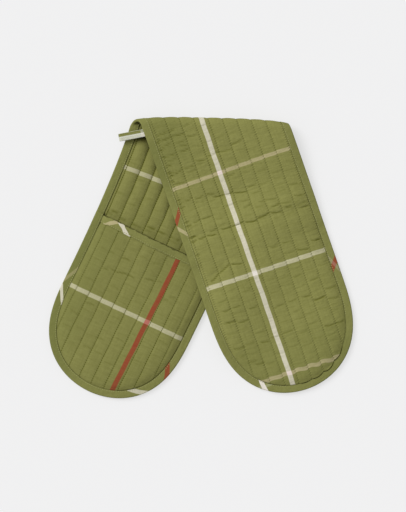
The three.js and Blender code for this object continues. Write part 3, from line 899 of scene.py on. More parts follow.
@dataclass(frozen=True)
class LoopCloth:
    """The hanging loop's tape: a green half and a cream half with a thin line."""

    name: str = "loop_tape_cloth"
    rib: float = 0.0005
    rib_deep: float = 0.00006
    cream_tone: float = 0.8

    def material(self) -> bpy.types.Material:
        """The loop's material, over metres along the loop and across it."""
        nodes = Shading(self.name)
        u, v = nodes.places("tape")
        turn = math.pi / self.rib
        ribs = nodes.math("SINE", nodes.times(u, turn))
        mottle = nodes.noise(350.0, 3.0)
        shade = nodes.scaled(mottle, 0.8, 0.1)
        green = nodes.mix(shade, Yarn.DEEP_TAPE_OLIVE.value, Yarn.TAPE_OLIVE.value)
        deep_cream = tuple(c * self.cream_tone for c in Yarn.PALE_GREY.value)
        cream = nodes.mix(shade, deep_cream, Yarn.PALE_GREY.value)
        cross = nodes.band(nodes.minus(u, 0.0112), 0.0028, 0.0003)
        cream = nodes.mix(nodes.times(cross, 0.7), cream, Yarn.WHITE.value)
        green = nodes.mix(nodes.times(cross, 0.4), green, Yarn.PALE_GREY.value)
        # Painted shade along the loop's turn, on the green half
        bight = nodes.band(nodes.minus(u, 0.0455), 0.0009, 0.0005)
        green = nodes.mix(nodes.times(bight, 0.7), green, Yarn.SHADE.value)
        off = nodes.minus(v, 0.0025)
        colour = nodes.mix(nodes.band(off, 0.0031, 0.0002), green, cream)
        for place, half, yarn, cover in (
            (0.0019, 0.0003, Yarn.PALE, 0.6),
            (0.0036, 0.0003, Yarn.PALE, 0.6),
            (-0.0047, 0.0003, Yarn.PALE_GREY, 0.45),
            (-0.0038, 0.0003, Yarn.SHADE, 0.5),
        ):
            line = nodes.band(nodes.minus(v, place), half, 0.0002)
            colour = nodes.mix(nodes.times(line, cover), colour, yarn.value)
        normal = nodes.bump(ribs, self.rib_deep)
        return nodes.finish(colour, rough=0.86, sheen=0.12, normal=normal)


@dataclass(frozen=True)
class Thread:
    """Matt cotton thread."""

    name: str
    yarn: Yarn
    dark: float = 0.7

    def material(self) -> bpy.types.Material:
        """The thread's material, with its twist on Object coordinates."""
        nodes = Shading(self.name)
        place = nodes.add("ShaderNodeTexCoord")
        nodes.vector = place.outputs["Object"]
        twist = nodes.noise(2400.0, 1.0)
        dark = tuple(c * self.dark for c in self.yarn.value)
        colour = nodes.mix(twist, dark, self.yarn.value)
        return nodes.finish(colour, rough=0.8, sheen=0.1, normal=nodes.bump(twist, 0.0001))


# --------------------------------------------------------------------------- mesh helpers


def as_mesh(work: bmesh.types.BMesh, name: str) -> bpy.types.Mesh:
    """A new mesh of what was made in bmesh."""
    mesh = bpy.data.meshes.new(name)
    work.to_mesh(mesh)
    work.free()
    return mesh


def flat_grid(name: str, across: int, along: int, thick: bool) -> tuple[bpy.types.Mesh, Array]:
    """A flat grid to be laid down, closed to a thin plate where thick is set.

    Args:
        name: of the mesh.
        across: number of faces across.
        along: number of faces along.
        thick: whether the plate has a back, one unit below its front.

    Returns:
        The mesh, and for each vertex its column, its row and its layer, 0 at the front.
    """
    work = bmesh.new()
    bmesh.ops.create_grid(work, x_segments=across, y_segments=along, size=1.0)
    if thick:
        bmesh.ops.solidify(work, geom=work.faces[:], thickness=1.0)
    mesh = as_mesh(work, name)
    spots = np.zeros(len(mesh.vertices) * 3)
    mesh.vertices.foreach_get("co", spots)
    spots = spots.reshape(-1, 3)
    column = np.rint((spots[:, 0] + 1) / 2 * across)
    row = np.rint((spots[:, 1] + 1) / 2 * along)
    layer = (np.abs(spots[:, 2]) > 0.5).astype(float)
    return mesh, np.stack([column, row, layer], axis=1).astype(int)


def set_places(mesh: bpy.types.Mesh, places: Array) -> None:
    """Moves every vertex of a mesh."""
    mesh.vertices.foreach_set("co", places.astype(np.float32).ravel())
    mesh.update()


def corner_vertices(mesh: bpy.types.Mesh) -> Array:
    """The number of the vertex at each corner of a mesh's faces."""
    corners = np.zeros(len(mesh.loops), dtype=np.int32)
    mesh.loops.foreach_get("vertex_index", corners)
    return corners


def set_layer(mesh: bpy.types.Mesh, name: str, values: Array) -> None:
    """Gives a mesh a UV layer from one pair of values for each vertex."""
    layer = mesh.uv_layers.new(name=name)
    pairs = values[corner_vertices(mesh)].astype(np.float32)
    layer.uv.foreach_set("vector", pairs.ravel())


def set_value(mesh: bpy.types.Mesh, name: str, values: Array) -> None:
    """Gives a mesh a value for each vertex."""
    mesh.attributes.new(name, "FLOAT", "POINT").data.foreach_set("value", values.astype(np.float32))


def shade_smooth(mesh: bpy.types.Mesh) -> None:
    """Shades all faces of a mesh smooth."""
    mesh.polygons.foreach_set("use_smooth", np.ones(len(mesh.polygons), dtype=bool))


def closed(mesh: bpy.types.Mesh, weld: bool = False) -> None:
    """Welds a mesh's seams where asked, and turns its faces outwards and smooth."""
    work = bmesh.new()
    work.from_mesh(mesh)
    if weld:
        bmesh.ops.remove_doubles(work, verts=work.verts[:], dist=WELD)
    if work.calc_volume(signed=True) < 0:
        bmesh.ops.reverse_faces(work, faces=work.faces[:])
    open_edges = sum(1 for edge in work.edges if len(edge.link_faces) != 2)
    if open_edges:
        LOG.warning("%s has %d open edges", mesh.name, open_edges)
    work.to_mesh(mesh)
    work.free()
    shade_smooth(mesh)
    mesh.update()


def placed(name: str, data: bpy.types.ID) -> bpy.types.Object:
    """A new object in the scene."""
    thing = bpy.data.objects.new(name, data)
    bpy.context.scene.collection.objects.link(thing)
    return thing


def show(mesh: bpy.types.Mesh, materials: tuple[bpy.types.Material, ...]) -> bpy.types.Object:
    """Puts a mesh into the scene as a piece that rides on the glove's one body."""
    for material in materials:
        mesh.materials.append(material)
    piece = placed(mesh.name, mesh)
    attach(piece, "root")
    triangles = sum(len(polygon.vertices) - 2 for polygon in mesh.polygons)
    LOG.info("%s: %d triangles", mesh.name, triangles)
    return piece


# -------------------------------------------------------------------------------- stitches


@dataclass
class StitchRow:
    """Rows of running stitches, each stitch a small bead of thread sunk in the cloth."""

    name: str
    thread: Thread
    slot: str
    starts: list[Array] = field(default_factory=list)
    ends: list[Array] = field(default_factory=list)
    lifts: list[Array] = field(default_factory=list)

    PITCH = 0.0031
    LENGTH = 0.0021
    THICK = 0.00042
    STEP = 0.0008
    FLAT = 0.8
    SUNK_IN_QUILT = 0.00012
    SUNK_IN_TAPE = 0.00022
    SUNK_IN_RIGHT_TAPE = 0.00010
    SUNK_BELOW = 0.00025

    def sew(self, s: Array, t: Array, h: Array) -> None:
        """Adds stitches along a line of the pattern, given as closely spaced places."""
        run = np.concatenate([[0], np.cumsum(np.hypot(np.diff(s), np.diff(t)))])
        count = int(run[-1] / self.PITCH)
        if count < 1:
            return
        first = (np.arange(count) + (1 - self.LENGTH / self.PITCH) / 2) * self.PITCH
        last = first + self.LENGTH
        laid = []
        for at in (first, last):
            place = [np.interp(at, run, values) for values in (s, t, h)]
            laid.append(STRIP.lay(*place))
            _, normal = STRIP.surface(place[0], place[1])
        self.starts.append(laid[0])
        self.ends.append(laid[1])
        self.lifts.append(normal * np.sign(np.interp(last, run, h))[:, None])

    def build(self) -> bpy.types.Object:
        """Makes one mesh of all stitches."""
        start, end = np.vstack(self.starts), np.vstack(self.ends)
        lift = np.vstack(self.lifts)
        count = len(start)
        work = bmesh.new()
        bmesh.ops.create_icosphere(work, subdivisions=1, radius=1.0)
        bead = np.array([vert.co[:] for vert in work.verts])
        while len(work.verts) < len(bead) * count:
            geometry = [*work.verts, *work.edges, *work.faces]
            bmesh.ops.duplicate(work, geom=geometry)
        spare = list(work.verts)[len(bead) * count :]
        if spare:
            bmesh.ops.delete(work, geom=spare, context="VERTS")
        mesh = as_mesh(work, self.name)
        along = (end - start) / 2
        size = np.linalg.norm(along, axis=1, keepdims=True)
        aside = np.cross(lift, along / size)
        middle = (start + end) / 2
        x, y, z = (bead[:, k][None, :, None] for k in range(3))
        places = (
            middle[:, None, :]
            + x * along[:, None, :]
            + y * aside[:, None, :] * self.THICK
            + z * lift[:, None, :] * self.THICK * self.FLAT
        )
        set_places(mesh, places.reshape(-1, 3))
        shade_smooth(mesh)
        piece = show(mesh, (self.thread.material(),))
        return piece


# ----------------------------------------------------------------------------- the panels


def spaced(start: float, end: float, step: float) -> Array:
    """Even places from start to end, about a step apart."""
    return np.linspace(start, end, max(2, round(abs(end - start) / step) + 1))


@dataclass
class QuiltedPanel(ABC):
    """A quilted panel of two cloths with wadding between, made as one plate.

    Some of the attributes:
        stripe_step: how far a cross stripe shifts from one line of stitches to the next.
        slope: run from the tape's inner edge to the panel's full thickness.
        fine_end: length of the fine rows at a rounded end.
        side_margin: width beside the edge that has the side columns.
        gap_middle: from a tape's inner edge to the middle of the painted shade in the gap beside
            it.
        groove_full: depth of a crease that has its full painted shade.
        seam_clear: from a tape's inner edge to the last stitch of a line.
        side_columns: distances of columns from the edge, in millimetres.
        shares: places of the columns between two lines of stitches.
    """

    name: str
    node: str
    quilt: Quilt
    outer: CheckCloth
    inner: CheckCloth
    outer_relief: Relief
    inner_relief: Relief
    stripe_step: float = -0.0007
    slope: float = 0.0042
    fine_end: float = 0.0155
    side_margin: float = 0.0126
    gap_middle: float = 0.0006
    groove_full: float = 1.0 * MM
    seam_clear: float = 0.0004
    side_columns: tuple[float, ...] = (1.2, 1.7, 2.6, 4.0, 5.8, 7.6, 9.2, 10.4, 11.2, 11.9)
    shares: tuple[float, ...] = (0.0, 0.045, 0.11, 0.21, 0.35, 0.5, 0.65, 0.79, 0.89, 0.955)

    def columns(self) -> Array:
        """Values of t from edge to edge, with one column on each line of stitches."""
        limit = STRIP.half_width - self.side_margin
        inner = [
            line + share * self.quilt.pitch
            for line in self.quilt.lines(0.12)
            for share in self.shares
        ]
        inner = [t for t in inner if abs(t) < limit]
        sides = [STRIP.half_width - past * MM for past in self.side_columns]
        return np.array(sorted([*inner, *sides, *(-t for t in sides)]))

    def arm_rows(
        self, arm: Arm, first: float, step: float, t: Array, fine: float = 0.0007
    ) -> tuple[Array, Array]:
        """Rows of places along one arm, from a distance to its rounded end.

        Args:
            arm: the arm.
            first: distance of the first row from the fold.
            step: distance between rows.
            t: the columns.
            fine: distance between the last rows, by the rounded end.

        Returns:
            Arrays of s and t, one row for each row of the panel.
        """
        lead = arm.start - 0.040
        straight = spaced(first, lead, step)
        skew = np.clip((0.100 - straight) / 0.084, 0.0, 1.0)
        lean = math.tan(STRIP.arm_angle)
        s = arm.side * straight[:, None] + t[None, :] * lean * skew[:, None]
        angles = np.linspace(0.0, math.pi / 2, 1441)
        edge_t, edge_y = STRIP.round_point(arm, angles, STRIP.inset)
        ends = arm.start + np.interp(np.abs(t), edge_t, edge_y)
        total = arm.length - lead
        coarse = spaced(0.0, total - self.fine_end, step)[1:]
        share = np.concatenate([coarse, spaced(total - self.fine_end, total, fine)[1:]]) / total
        end_rows = arm.side * (lead + (ends - lead)[None, :] * share[:, None])
        s = np.vstack([s, end_rows])
        return s, np.broadcast_to(t, s.shape)

    @abstractmethod
    def rows(self) -> tuple[Array, Array]:
        """All rows of the panel: arrays of s and t."""

    @abstractmethod
    def lift(self, s: Array, t: Array, face: Face) -> Array:
        """How much higher than under the tape a face stands right beside it."""

    @abstractmethod
    def painted_gap_shade(self, s: Array, t: Array, face: Face) -> tuple[Array, Array]:
        """Distance to the middle of the gap beside a tape, and how dark the painted shade there is,
        0 to 1.
        """

    @abstractmethod
    def painted_seam_shade(self, s: Array, t: Array, face: Face) -> Array:
        """How dark the painted shade in the lines of stitches is, from 0 to 1."""

    @abstractmethod
    def painted_shade_patch(self, s: Array, t: Array, face: Face) -> Array:
        """How much painted shade darkens the cloth to a deeper green than elsewhere, from 0 to 1.
        """

    def fullness(self, s: Array, t: Array, distance: Array, lift: Array) -> Array:
        """Half the panel's thickness, puffed between the lines of stitches."""
        share = self.quilt.share(t)
        puff = np.sin(math.pi * share) ** 0.5
        run = self.slope - 0.0024 * rise(STRIP.overlap(s, t), 0.0, 0.0008)
        inner = rise(distance - STRIP.tape_width, 0.0004, run)
        beside = lift * rise(distance, STRIP.tape_width, 0.0008)
        valley = self.quilt.valley + lift * fall(distance, 0.0165, 0.0040)
        full = lerp(valley, self.quilt.crown, puff)
        return lerp(STRIP.rim(self.quilt, distance) + beside, full, inner)

    def face_height(self, s: Array, t: Array, face: Face) -> Array:
        """Height of a face over the panel's own middle."""
        distance = self.to_tape(s, t, face)
        relief = self.outer_relief if face is Face.OUTER else self.inner_relief
        full = self.fullness(s, t, distance, self.lift(s, t, face))
        return full + (relief.at(s, t) - relief.grooves(s, t)) * self.inside(s, t, distance)

    def inside(self, s: Array, t: Array, distance: Array) -> Array:
        """0 under the tapes, and 1 where a face has all of its relief."""
        return rise(distance - STRIP.tape_width, 0.0008, 0.005)

    def to_tape(self, s: Array, t: Array, face: Face) -> Array:
        """Distance to the edge on a face, more where channels bulge over the tape."""
        distance = STRIP.edge_distance(s, t)
        return distance + STRIP.overlap(s, t) if face is Face.OUTER else distance

    def depth(self, s: Array, t: Array) -> Array:
        """Distance of the panel's own middle from the strip's."""
        return np.zeros_like(s)

    def beside(self, s: Array, t: Array, face: Face) -> Array:
        """Distance to the middle of the gap beside the edge binding."""
        return self.to_tape(s, t, face) - STRIP.tape_width - self.gap_middle

    def stripe_shift(self, s: Array, t: Array) -> Array:
        """How far a cross stripe steps to and fro between two lines of stitches."""
        share = self.quilt.share(t)
        wave = lerp(0.0004, 0.0009, rise(t, -0.02, 0.04)) * rise(s, 0.320, 0.03)
        wave = wave * np.sin(2 * math.pi * share)
        return self.stripe_step * (share - 0.5) + wave

    def shades(self, s: Array, t: Array) -> dict[str, tuple[Array, Array]]:
        """What the cloth's material reads at each place: values on the outer and inner face."""
        grooves = [relief.grooves(s, t) for relief in (self.outer_relief, self.inner_relief)]
        outer, inner = self.painted_gap_shade(s, t, Face.OUTER), self.painted_gap_shade(s, t, Face.INNER)
        return {
            # Painted shade in the creases, by their depth
            "groove": tuple(np.clip(depth / self.groove_full, 0.0, 1.0) for depth in grooves),
            # Painted shade in the gap beside a tape: distance to its middle, and its strength
            "beside_tape": (outer[0], inner[0]),
            "gap": (outer[1], inner[1]),
            # Strength of the painted shade in the lines of stitches
            "painted_seam_shade": tuple(self.painted_seam_shade(s, t, face) for face in Face),
            # Painted shade in the fold's closed left end and under the loop, on the inner face only
            "painted_fold_shade": (np.zeros_like(s), STRIP.painted_fold_shade(s, t)),
            # Painted shade in patches, a deeper green
            "painted_shade_patch": tuple(self.painted_shade_patch(s, t, face) for face in Face),
        }

    def build(self) -> bpy.types.Object:
        """Makes the panel's mesh, lays it down and dresses it."""
        s_rows, t_rows = self.rows()
        along, across = s_rows.shape
        mesh, spots = flat_grid(self.name, across - 1, along - 1, thick=True)
        column, row, layer = spots.T
        s, t = s_rows.ravel(), t_rows.ravel()
        middle, normal = STRIP.surface(s, t + STRIP.drift(s, t))
        depth = self.depth(s, t)
        front = middle + normal * (self.face_height(s, t, Face.OUTER) - depth)[:, None]
        back = middle - normal * (self.face_height(s, t, Face.INNER) + depth)[:, None]
        index = row * across + column
        places = np.where(layer[:, None] == 0, front[index], back[index])
        set_places(mesh, places)
        set_layer(mesh, "pattern", np.stack([t, s + self.stripe_shift(s, t)], axis=1)[index])
        starts = np.zeros(len(mesh.polygons), dtype=np.int32)
        mesh.polygons.foreach_get("loop_start", starts)
        behind = np.minimum.reduceat(layer[corner_vertices(mesh)], starts)
        mesh.polygons.foreach_set("material_index", behind.astype(np.int32))
        closed(mesh)
        for name, values in self.shades(s, t).items():
            set_value(mesh, name, np.where(layer == 0, values[0][index], values[1][index]))
        piece = show(mesh, (self.outer.material(), self.inner.material()))
        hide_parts(self.node)
        return piece

    def sew(self, row: StitchRow, arm: Arm, first: float, face: Face) -> None:
        """Sews the lines of quilting on one arm and one face.

        Args:
            row: takes the stitches.
            arm: the arm.
            first: distance from the fold where the lines start.
            face: of the panel that shows them.
        """
        angles = np.linspace(0.0, math.pi / 2, 721)
        edge_t, edge_y = STRIP.round_point(arm, angles, STRIP.tape_width + self.seam_clear)
        first = math.ceil(first / row.PITCH) * row.PITCH
        for line in self.quilt.lines(STRIP.half_width - STRIP.tape_width - 2 * self.seam_clear):
            end = arm.start + float(np.interp(abs(line), edge_t, edge_y))
            askew = float(STRIP.mouth_at(arm, np.array(line))) - arm.mouth
            start = first + (askew if first > arm.mouth else 0.0)
            s = arm.side * spaced(start, end, row.STEP)
            t = np.full_like(s, line)
            sunk = self.face_height(s, t, face) - row.SUNK_IN_QUILT
            row.sew(s, t + STRIP.drift(s, t), face.value * sunk - self.depth(s, t))


@dataclass
class BasePanel(QuiltedPanel):
    """The long strip, folded over at its middle."""

    upper_step: float = 0.0015
    lower_step: float = 0.0027
    lower_fine: float = 0.0014
    outer_lift: float = 0.0007

    def rows(self) -> tuple[Array, Array]:
        """Rows from the lower arm's tip, over the fold, to the upper arm's tip."""
        t = self.columns()
        low_s, low_t = self.arm_rows(LOWER, 0.0, self.lower_step, t, self.lower_fine)
        top_s, top_t = self.arm_rows(UPPER, 0.0, self.upper_step, t)
        return np.vstack([low_s[:0:-1], top_s]), np.vstack([low_t[:0:-1], top_t])

    def painted_gap_shade(self, s: Array, t: Array, face: Face) -> tuple[Array, Array]:
        """Painted shade in the gap beside the edge binding, and above a pocket's mouth on the inner
        face.
        """
        beside = self.beside(s, t, face)
        if face is Face.OUTER:
            # Painted shade along the scalloped end, where the channels bulge over the tape
            start = lerp(0.335, 0.345, rise(t, 0.030, 0.020))
            lifted = rise(s, start, 0.009) * rise(t, -0.060, 0.01) * fall(t, 0.080, 0.01)
            return beside, 0.96 * lifted
        # Painted shade beside the tape on the lining, and above each pocket's mouth
        dark = 0.48 + 0.30 * rise(s, -0.10, 0.05)
        mouth = np.where(s > 0, STRIP.mouth_at(UPPER, t), STRIP.mouth_at(LOWER, t))
        above = np.abs(s) - mouth + 0.0005
        nearer = np.abs(above) < np.abs(beside)
        by_mouth = lerp(0.44, 0.62, rise(t, -0.03, 0.05))
        return np.where(nearer, above, beside), np.where(nearer, by_mouth, dark)

    def painted_seam_shade(self, s: Array, t: Array, face: Face) -> Array:
        """The painted shade in the lines is lighter towards the right and the end of the upper arm.
        """
        if face is Face.INNER:
            return np.ones_like(s)
        across = lerp(0.92, 0.46, rise(t, -0.06, 0.13))
        across = across * lerp(1.0, 0.30, rise(np.abs(t), 0.073, 0.005))
        return across * lerp(1.0, 0.62, rise(s, 0.18, 0.1))

    def painted_shade_patch(self, s: Array, t: Array, face: Face) -> Array:
        """Painted shade makes the upper arm a little deeper green by the fold's left end and at its
        tip.
        """
        if face is Face.INNER:
            return np.zeros_like(s)
        by_fold = 0.28 * fall(s, 0.075, 0.050) * rise(-t, 0.025, 0.040)
        return by_fold + 0.16 * rise(s, 0.290, 0.040)

    def lift(self, s: Array, t: Array, face: Face) -> Array:
        """The outer face stands nearly as high as the tape."""
        return np.full_like(s, self.outer_lift if face is Face.OUTER else 0.0)


@dataclass
class PocketPanel(QuiltedPanel):
    """A hand pocket on the inner side of one arm."""

    arm: Arm = LOWER
    step: float = 0.0015
    slope: float = 0.0032
    first_stitch: float = 0.0115

    def rows(self) -> tuple[Array, Array]:
        """Rows from the mouth to the arm's rounded end."""
        s, t = self.arm_rows(self.arm, self.arm.mouth + STRIP.inset, self.step, self.columns())
        askew = STRIP.mouth_at(self.arm, t) - self.arm.mouth
        return s + self.arm.side * askew * fall(np.abs(s), self.arm.mouth + 0.05, 0.045), t

    def painted_gap_shade(self, s: Array, t: Array, face: Face) -> tuple[Array, Array]:
        """Painted shade in the gap beside the edge binding."""
        dark = 0.05 + 0.60 * rise(t, 0.02, 0.03) + 0.16 * rise(s, -0.29, 0.03)
        return self.beside(s, t, face), dark

    def painted_seam_shade(self, s: Array, t: Array, face: Face) -> Array:
        """The painted shade in the lines is lighter towards both sides and away from the mouth."""
        sides = lerp(0.45, 1.0, rise(t, -0.085, 0.025)) * lerp(1.0, 0.6, rise(t, 0.06, 0.02))
        return sides * lerp(1.0, 1.12, rise(np.abs(s), 0.26, 0.03))

    def painted_shade_patch(self, s: Array, t: Array, face: Face) -> Array:
        """Painted shade makes the pocket a little deeper green towards its left side."""
        return 0.22 * rise(-t, 0.030, 0.040)

    def lift(self, s: Array, t: Array, face: Face) -> Array:
        """The face stands higher beside the tape, most in its rounded end."""
        return lerp(0.0004, 0.0008, rise(-s, 0.21, 0.05))

    def fullness(self, s: Array, t: Array, distance: Array, lift: Array) -> Array:
        """Half the thickness, thin under the mouth's tape."""
        past = np.abs(s) - STRIP.mouth_at(self.arm, t)
        full = super().fullness(s, t, distance, lift)
        from_mouth = rise(past - STRIP.tape_width, 0.0006, 0.004)
        return lerp(STRIP.rim(self.quilt, distance), full, from_mouth)

    def inside(self, s: Array, t: Array, distance: Array) -> Array:
        """0 under the tapes, the mouth's too, and 1 where a face has all of its relief."""
        past = np.abs(s) - STRIP.mouth_at(self.arm, t) - STRIP.tape_width
        return super().inside(s, t, distance) * rise(past, 0.0, 0.005)

    def to_tape(self, s: Array, t: Array, face: Face) -> Array:
        """Distance to the edge, because no pocket bulges over its tape."""
        return STRIP.edge_distance(s, t)

    def depth(self, s: Array, t: Array) -> Array:
        """Distance of the pocket's middle from the strip's."""
        return STRIP.pocket_depth(self.arm, np.abs(s), t, STRIP.edge_distance(s, t))


# ------------------------------------------------------------------------------- the tapes


def rounded(shoulder: float) -> list[tuple[float, float]]:
    """The half turn of a tape's folded edge, from its top to its bottom.

    Args:
        shoulder: distance from the edge at which the turn starts.

    Returns:
        For each point its distance from the edge and the sine of its turn.
    """
    found = []
    for turn in range(7):
        angle = math.pi / 2 - math.pi * turn / 6
        inward = 1 - math.cos(angle) ** 0.8 if turn % 6 else 1.0
        found.append((shoulder * inward, math.sin(angle)))
    return found


@dataclass
class EdgeBinding:
    """One bias tape round the whole edge, folded over it.

    Some of the attributes:
        turn: what the turn over the edge adds to a leg's places across the tape.
        shoulder: distance from the edge at which the turn starts.
        seam_deep: how far the stitches draw the tape in.
        puff: how much fuller the tape is between its edge and its stitches.
        back_place: place across the tape of the faces that lie on the panel.
        bulge_at: distance from the edge at which the panel's bulge over the tape is read.
        waves: lengths of the waves along the tape.
        legs: distances of the points of a leg from the edge, in millimetres.
    """

    marks: tuple[Mark, ...]
    name: str = "edge_binding_tape"
    step: float = 0.0016
    turn: float = 0.0016
    shoulder: float = 0.0017
    seam_deep: float = 0.00045
    puff: float = 0.00018
    back_place: float = 0.012
    bulge_at: float = 0.0095
    waves: tuple[float, ...] = (0.047, 0.023, 0.0125, 0.0078)
    legs: tuple[float, ...] = (10.45, 10.15, 9.7, 9.2, 8.7, 7.6, 6.2, 4.8, 3.4, 2.2)

    def path(self) -> tuple[Array, Array, Array, Array]:
        """Rings along the edge: up the right side, round the upper arm's end, and back.

        Returns:
            For each ring its s on a side, its angle in a rounded end, its kind (0 right
            side, 1 upper end, 2 left side, 3 lower end), and its length along the edge.
        """
        side = spaced(-LOWER.start, UPPER.start, self.step)
        found: list[tuple[float, float, int]] = [(s, 0.0, 0) for s in side[:-1]]
        for kind, arm, turn in ((1, UPPER, -1), (3, LOWER, 1)):
            angles = np.linspace(-math.pi / 2, math.pi / 2, 4001)
            t, y = STRIP.round_point(arm, angles, 0.0)
            run = np.concatenate([[0], np.cumsum(np.hypot(np.diff(t), np.diff(y)))])
            even = np.interp(spaced(0, run[-1], self.step), run, angles)[:-1]
            even = even if turn > 0 else -even
            found += [(0.0, float(angle), kind) for angle in even]
            if kind == 1:
                found += [(float(s), 0.0, 2) for s in side[:0:-1]]
        s, angle, kind = (np.array(part) for part in zip(*found))
        edge_s, edge_t = self.place(s, angle, kind, np.zeros_like(s))
        steps = np.hypot(np.diff(edge_s), np.diff(edge_t))
        return s, angle, kind, np.concatenate([[0], np.cumsum(steps)])

    def place(self, s: Array, angle: Array, kind: Array, distance: Array) -> tuple[Array, Array]:
        """Pattern places at a distance inside the edge, for rings of the path."""
        where_s = np.array(s, dtype=float)
        where_t = np.where(kind == 0, 1.0, -1.0) * (STRIP.half_width - distance)
        for number, arm in ((1, UPPER), (3, LOWER)):
            here = kind == number
            t, y = STRIP.round_point(arm, angle[here], distance[here])
            where_s[here] = arm.side * (arm.start + y)
            where_t[here] = t
        return where_s, where_t

    def mouths(self, s: Array, angle: Array, kind: Array) -> tuple[Array, Array]:
        """For rings of the path, s at the edge and the distance of their arm's mouth."""
        edge_s, _ = self.place(s, angle, kind, np.zeros_like(s))
        return edge_s, np.where(edge_s > 0, UPPER.mouth, LOWER.mouth)

    def under(self, arm_mouth: Array, along: Array, distance: Array) -> Array:
        """Depth of what the tape's inner leg covers: the panel, and a pocket past its mouth."""
        mouth = STRIP.mouth_share(along - arm_mouth)
        pocket = 2 * STRIP.rim(POCKET, distance) + STRIP.gap + 2 * mouth * STRIP.inset
        there = rise(along - arm_mouth, -0.004, 0.003)
        return STRIP.rim(BASE, distance) + STRIP.gap + pocket * there

    def section(
        self, mouth: Array, along: Array, wave: Array, overlap: Array
    ) -> tuple[Array, Array, Array]:
        """The tape's closed section at each ring.

        Args:
            mouth: where the pocket's mouth lies on each ring's arm.
            along: distance of each ring from the fold.
            wave: uneven fullness of the tape at each ring, about -1 to 1.
            overlap: how far the panel bulges over the tape's outer leg at each ring.

        Returns:
            Distances from the edge, heights and places across the tape, ring by point.
        """
        tape, width = STRIP.tape, STRIP.tape_width
        legs = np.array(self.legs) * MM
        count = len(mouth)

        def top(distance: float) -> Array:
            """Height of the outer leg's face at a distance from the edge."""
            return STRIP.rim(BASE, np.full(count, distance)) + STRIP.gap + tape

        def low(distance: float) -> Array:
            """Height of the inner leg's face at a distance from the edge."""
            return -self.under(mouth, along, np.full(count, distance)) - tape

        def swell(distance: float) -> Array:
            """How much fuller the tape is between its edge and its stitches."""
            return self.puff * wave * math.sin(math.pi * min(distance / STRIP.tape_seam, 1.0))

        def drawn(distance: float) -> Array:
            """Distance of the outer leg's points, pushed back where the panel bulges."""
            return distance - overlap * float(rise(distance, 0.003, 0.006))

        shallow = lerp(1.0, 0.4, rise(along, 0.250, 0.040) * (mouth == LOWER.mouth))
        rows: list[tuple[Array, Array, float]] = []
        for distance in legs:
            dip = STRIP.seam_dip(distance, self.seam_deep)
            height = top(distance) - 0.6 * dip + swell(distance) - STRIP.end_drop(distance)
            rows.append((drawn(distance), height, distance + self.turn))
        centre = (top(self.shoulder) + low(self.shoulder)) / 2
        half = (top(self.shoulder) - low(self.shoulder)) / 2
        turn = self.shoulder + self.turn
        for distance, sine in rounded(self.shoulder):
            rows.append((np.full(count, distance), centre + half * sine, turn * sine))
        for distance in legs[::-1]:
            dip = STRIP.seam_dip(distance, self.seam_deep)
            height = low(distance) + dip * shallow - swell(distance) + STRIP.end_drop(distance)
            rows.append((np.full(count, distance), height, -distance - self.turn))
        inside = (width, 6.0 * MM, tape)
        back = [(face, past) for face, part in ((-1, inside), (1, inside[::-1])) for past in part]
        for face, distance in back:
            inner = max(distance, STRIP.inset)
            height = low(inner) + tape if face < 0 else top(inner) - tape
            place = drawn(distance) if face > 0 else np.full(count, distance)
            rows.append((place, height, face * self.back_place))
        distances, heights, across = zip(*rows)
        places = np.broadcast_to(np.array(across), (count, len(across)))
        return np.stack(distances, axis=1), np.stack(heights, axis=1), places

    def painted_shade_patch(self, s: Array, t: Array) -> Array:
        """How much painted shade darkens the tape to a deeper green than elsewhere, from 0 to 1."""
        lower_left = lerp(0.18, 0.42, rise(-s, 0.150, 0.080)) * rise(-t, 0.010, 0.050)
        lower_left = lower_left * rise(-s, 0.060, 0.030)
        by_fold = 0.28 * rise(s, 0.0, 0.010) * fall(s, 0.090, 0.040) * fall(t, 0.0, 0.02)
        tip = 0.22 * rise(s, 0.330, 0.020) * rise(t, 0.0, 0.040)
        return lower_left + by_fold + tip

    def tape_place(self, spot: Spot) -> Spot:
        """Where a place of the pattern, given as s and t, lies on the tape."""
        s, angle, kind, run = self.path()
        edge_s, edge_t = self.place(s, angle, kind, np.zeros_like(s))
        away = np.hypot(edge_s - spot[0], edge_t - spot[1])
        nearest = int(np.argmin(away))
        face = 1 if spot[0] > 0 else -1
        return float(run[nearest]), face * (float(away[nearest]) + self.turn)

    def build(self) -> bpy.types.Object:
        """Makes the tape as a ring of closed sections."""
        s, angle, kind, run = self.path()
        edge_s, mouth = self.mouths(s, angle, kind)
        rng = np.random.default_rng(31)
        wave = np.zeros_like(run)
        for length in self.waves:
            turns = round(run[-1] / length)
            wave += np.sin(2 * math.pi * turns * run / run[-1] + rng.uniform(0, 6.28)) / 2
        overlap = STRIP.overlap(*self.place(s, angle, kind, np.full_like(s, self.bulge_at)))
        distance, height, across = self.section(mouth, np.abs(edge_s), wave, overlap)
        rings, points = distance.shape
        mesh, spots = flat_grid(self.name, points, rings, thick=False)
        column, row, _ = spots.T
        repeated = (np.repeat(values, points) for values in (s, angle, kind))
        spot_s, spot_t = self.place(*repeated, distance.ravel())
        places = STRIP.lay(spot_s, spot_t, height.ravel())
        index = (row % rings) * points + column % points
        set_places(mesh, places[index])
        total = run[-1] + self.step
        along = np.where(row == rings, total, run[row % rings])
        side = np.where(column == points, across[0, 0], across[0][column % points])
        set_layer(mesh, "tape", np.stack([along, side], axis=1))
        # Painted shade in patches on the tape, a deeper green
        set_value(mesh, "painted_shade_patch", self.painted_shade_patch(spot_s, spot_t)[index])
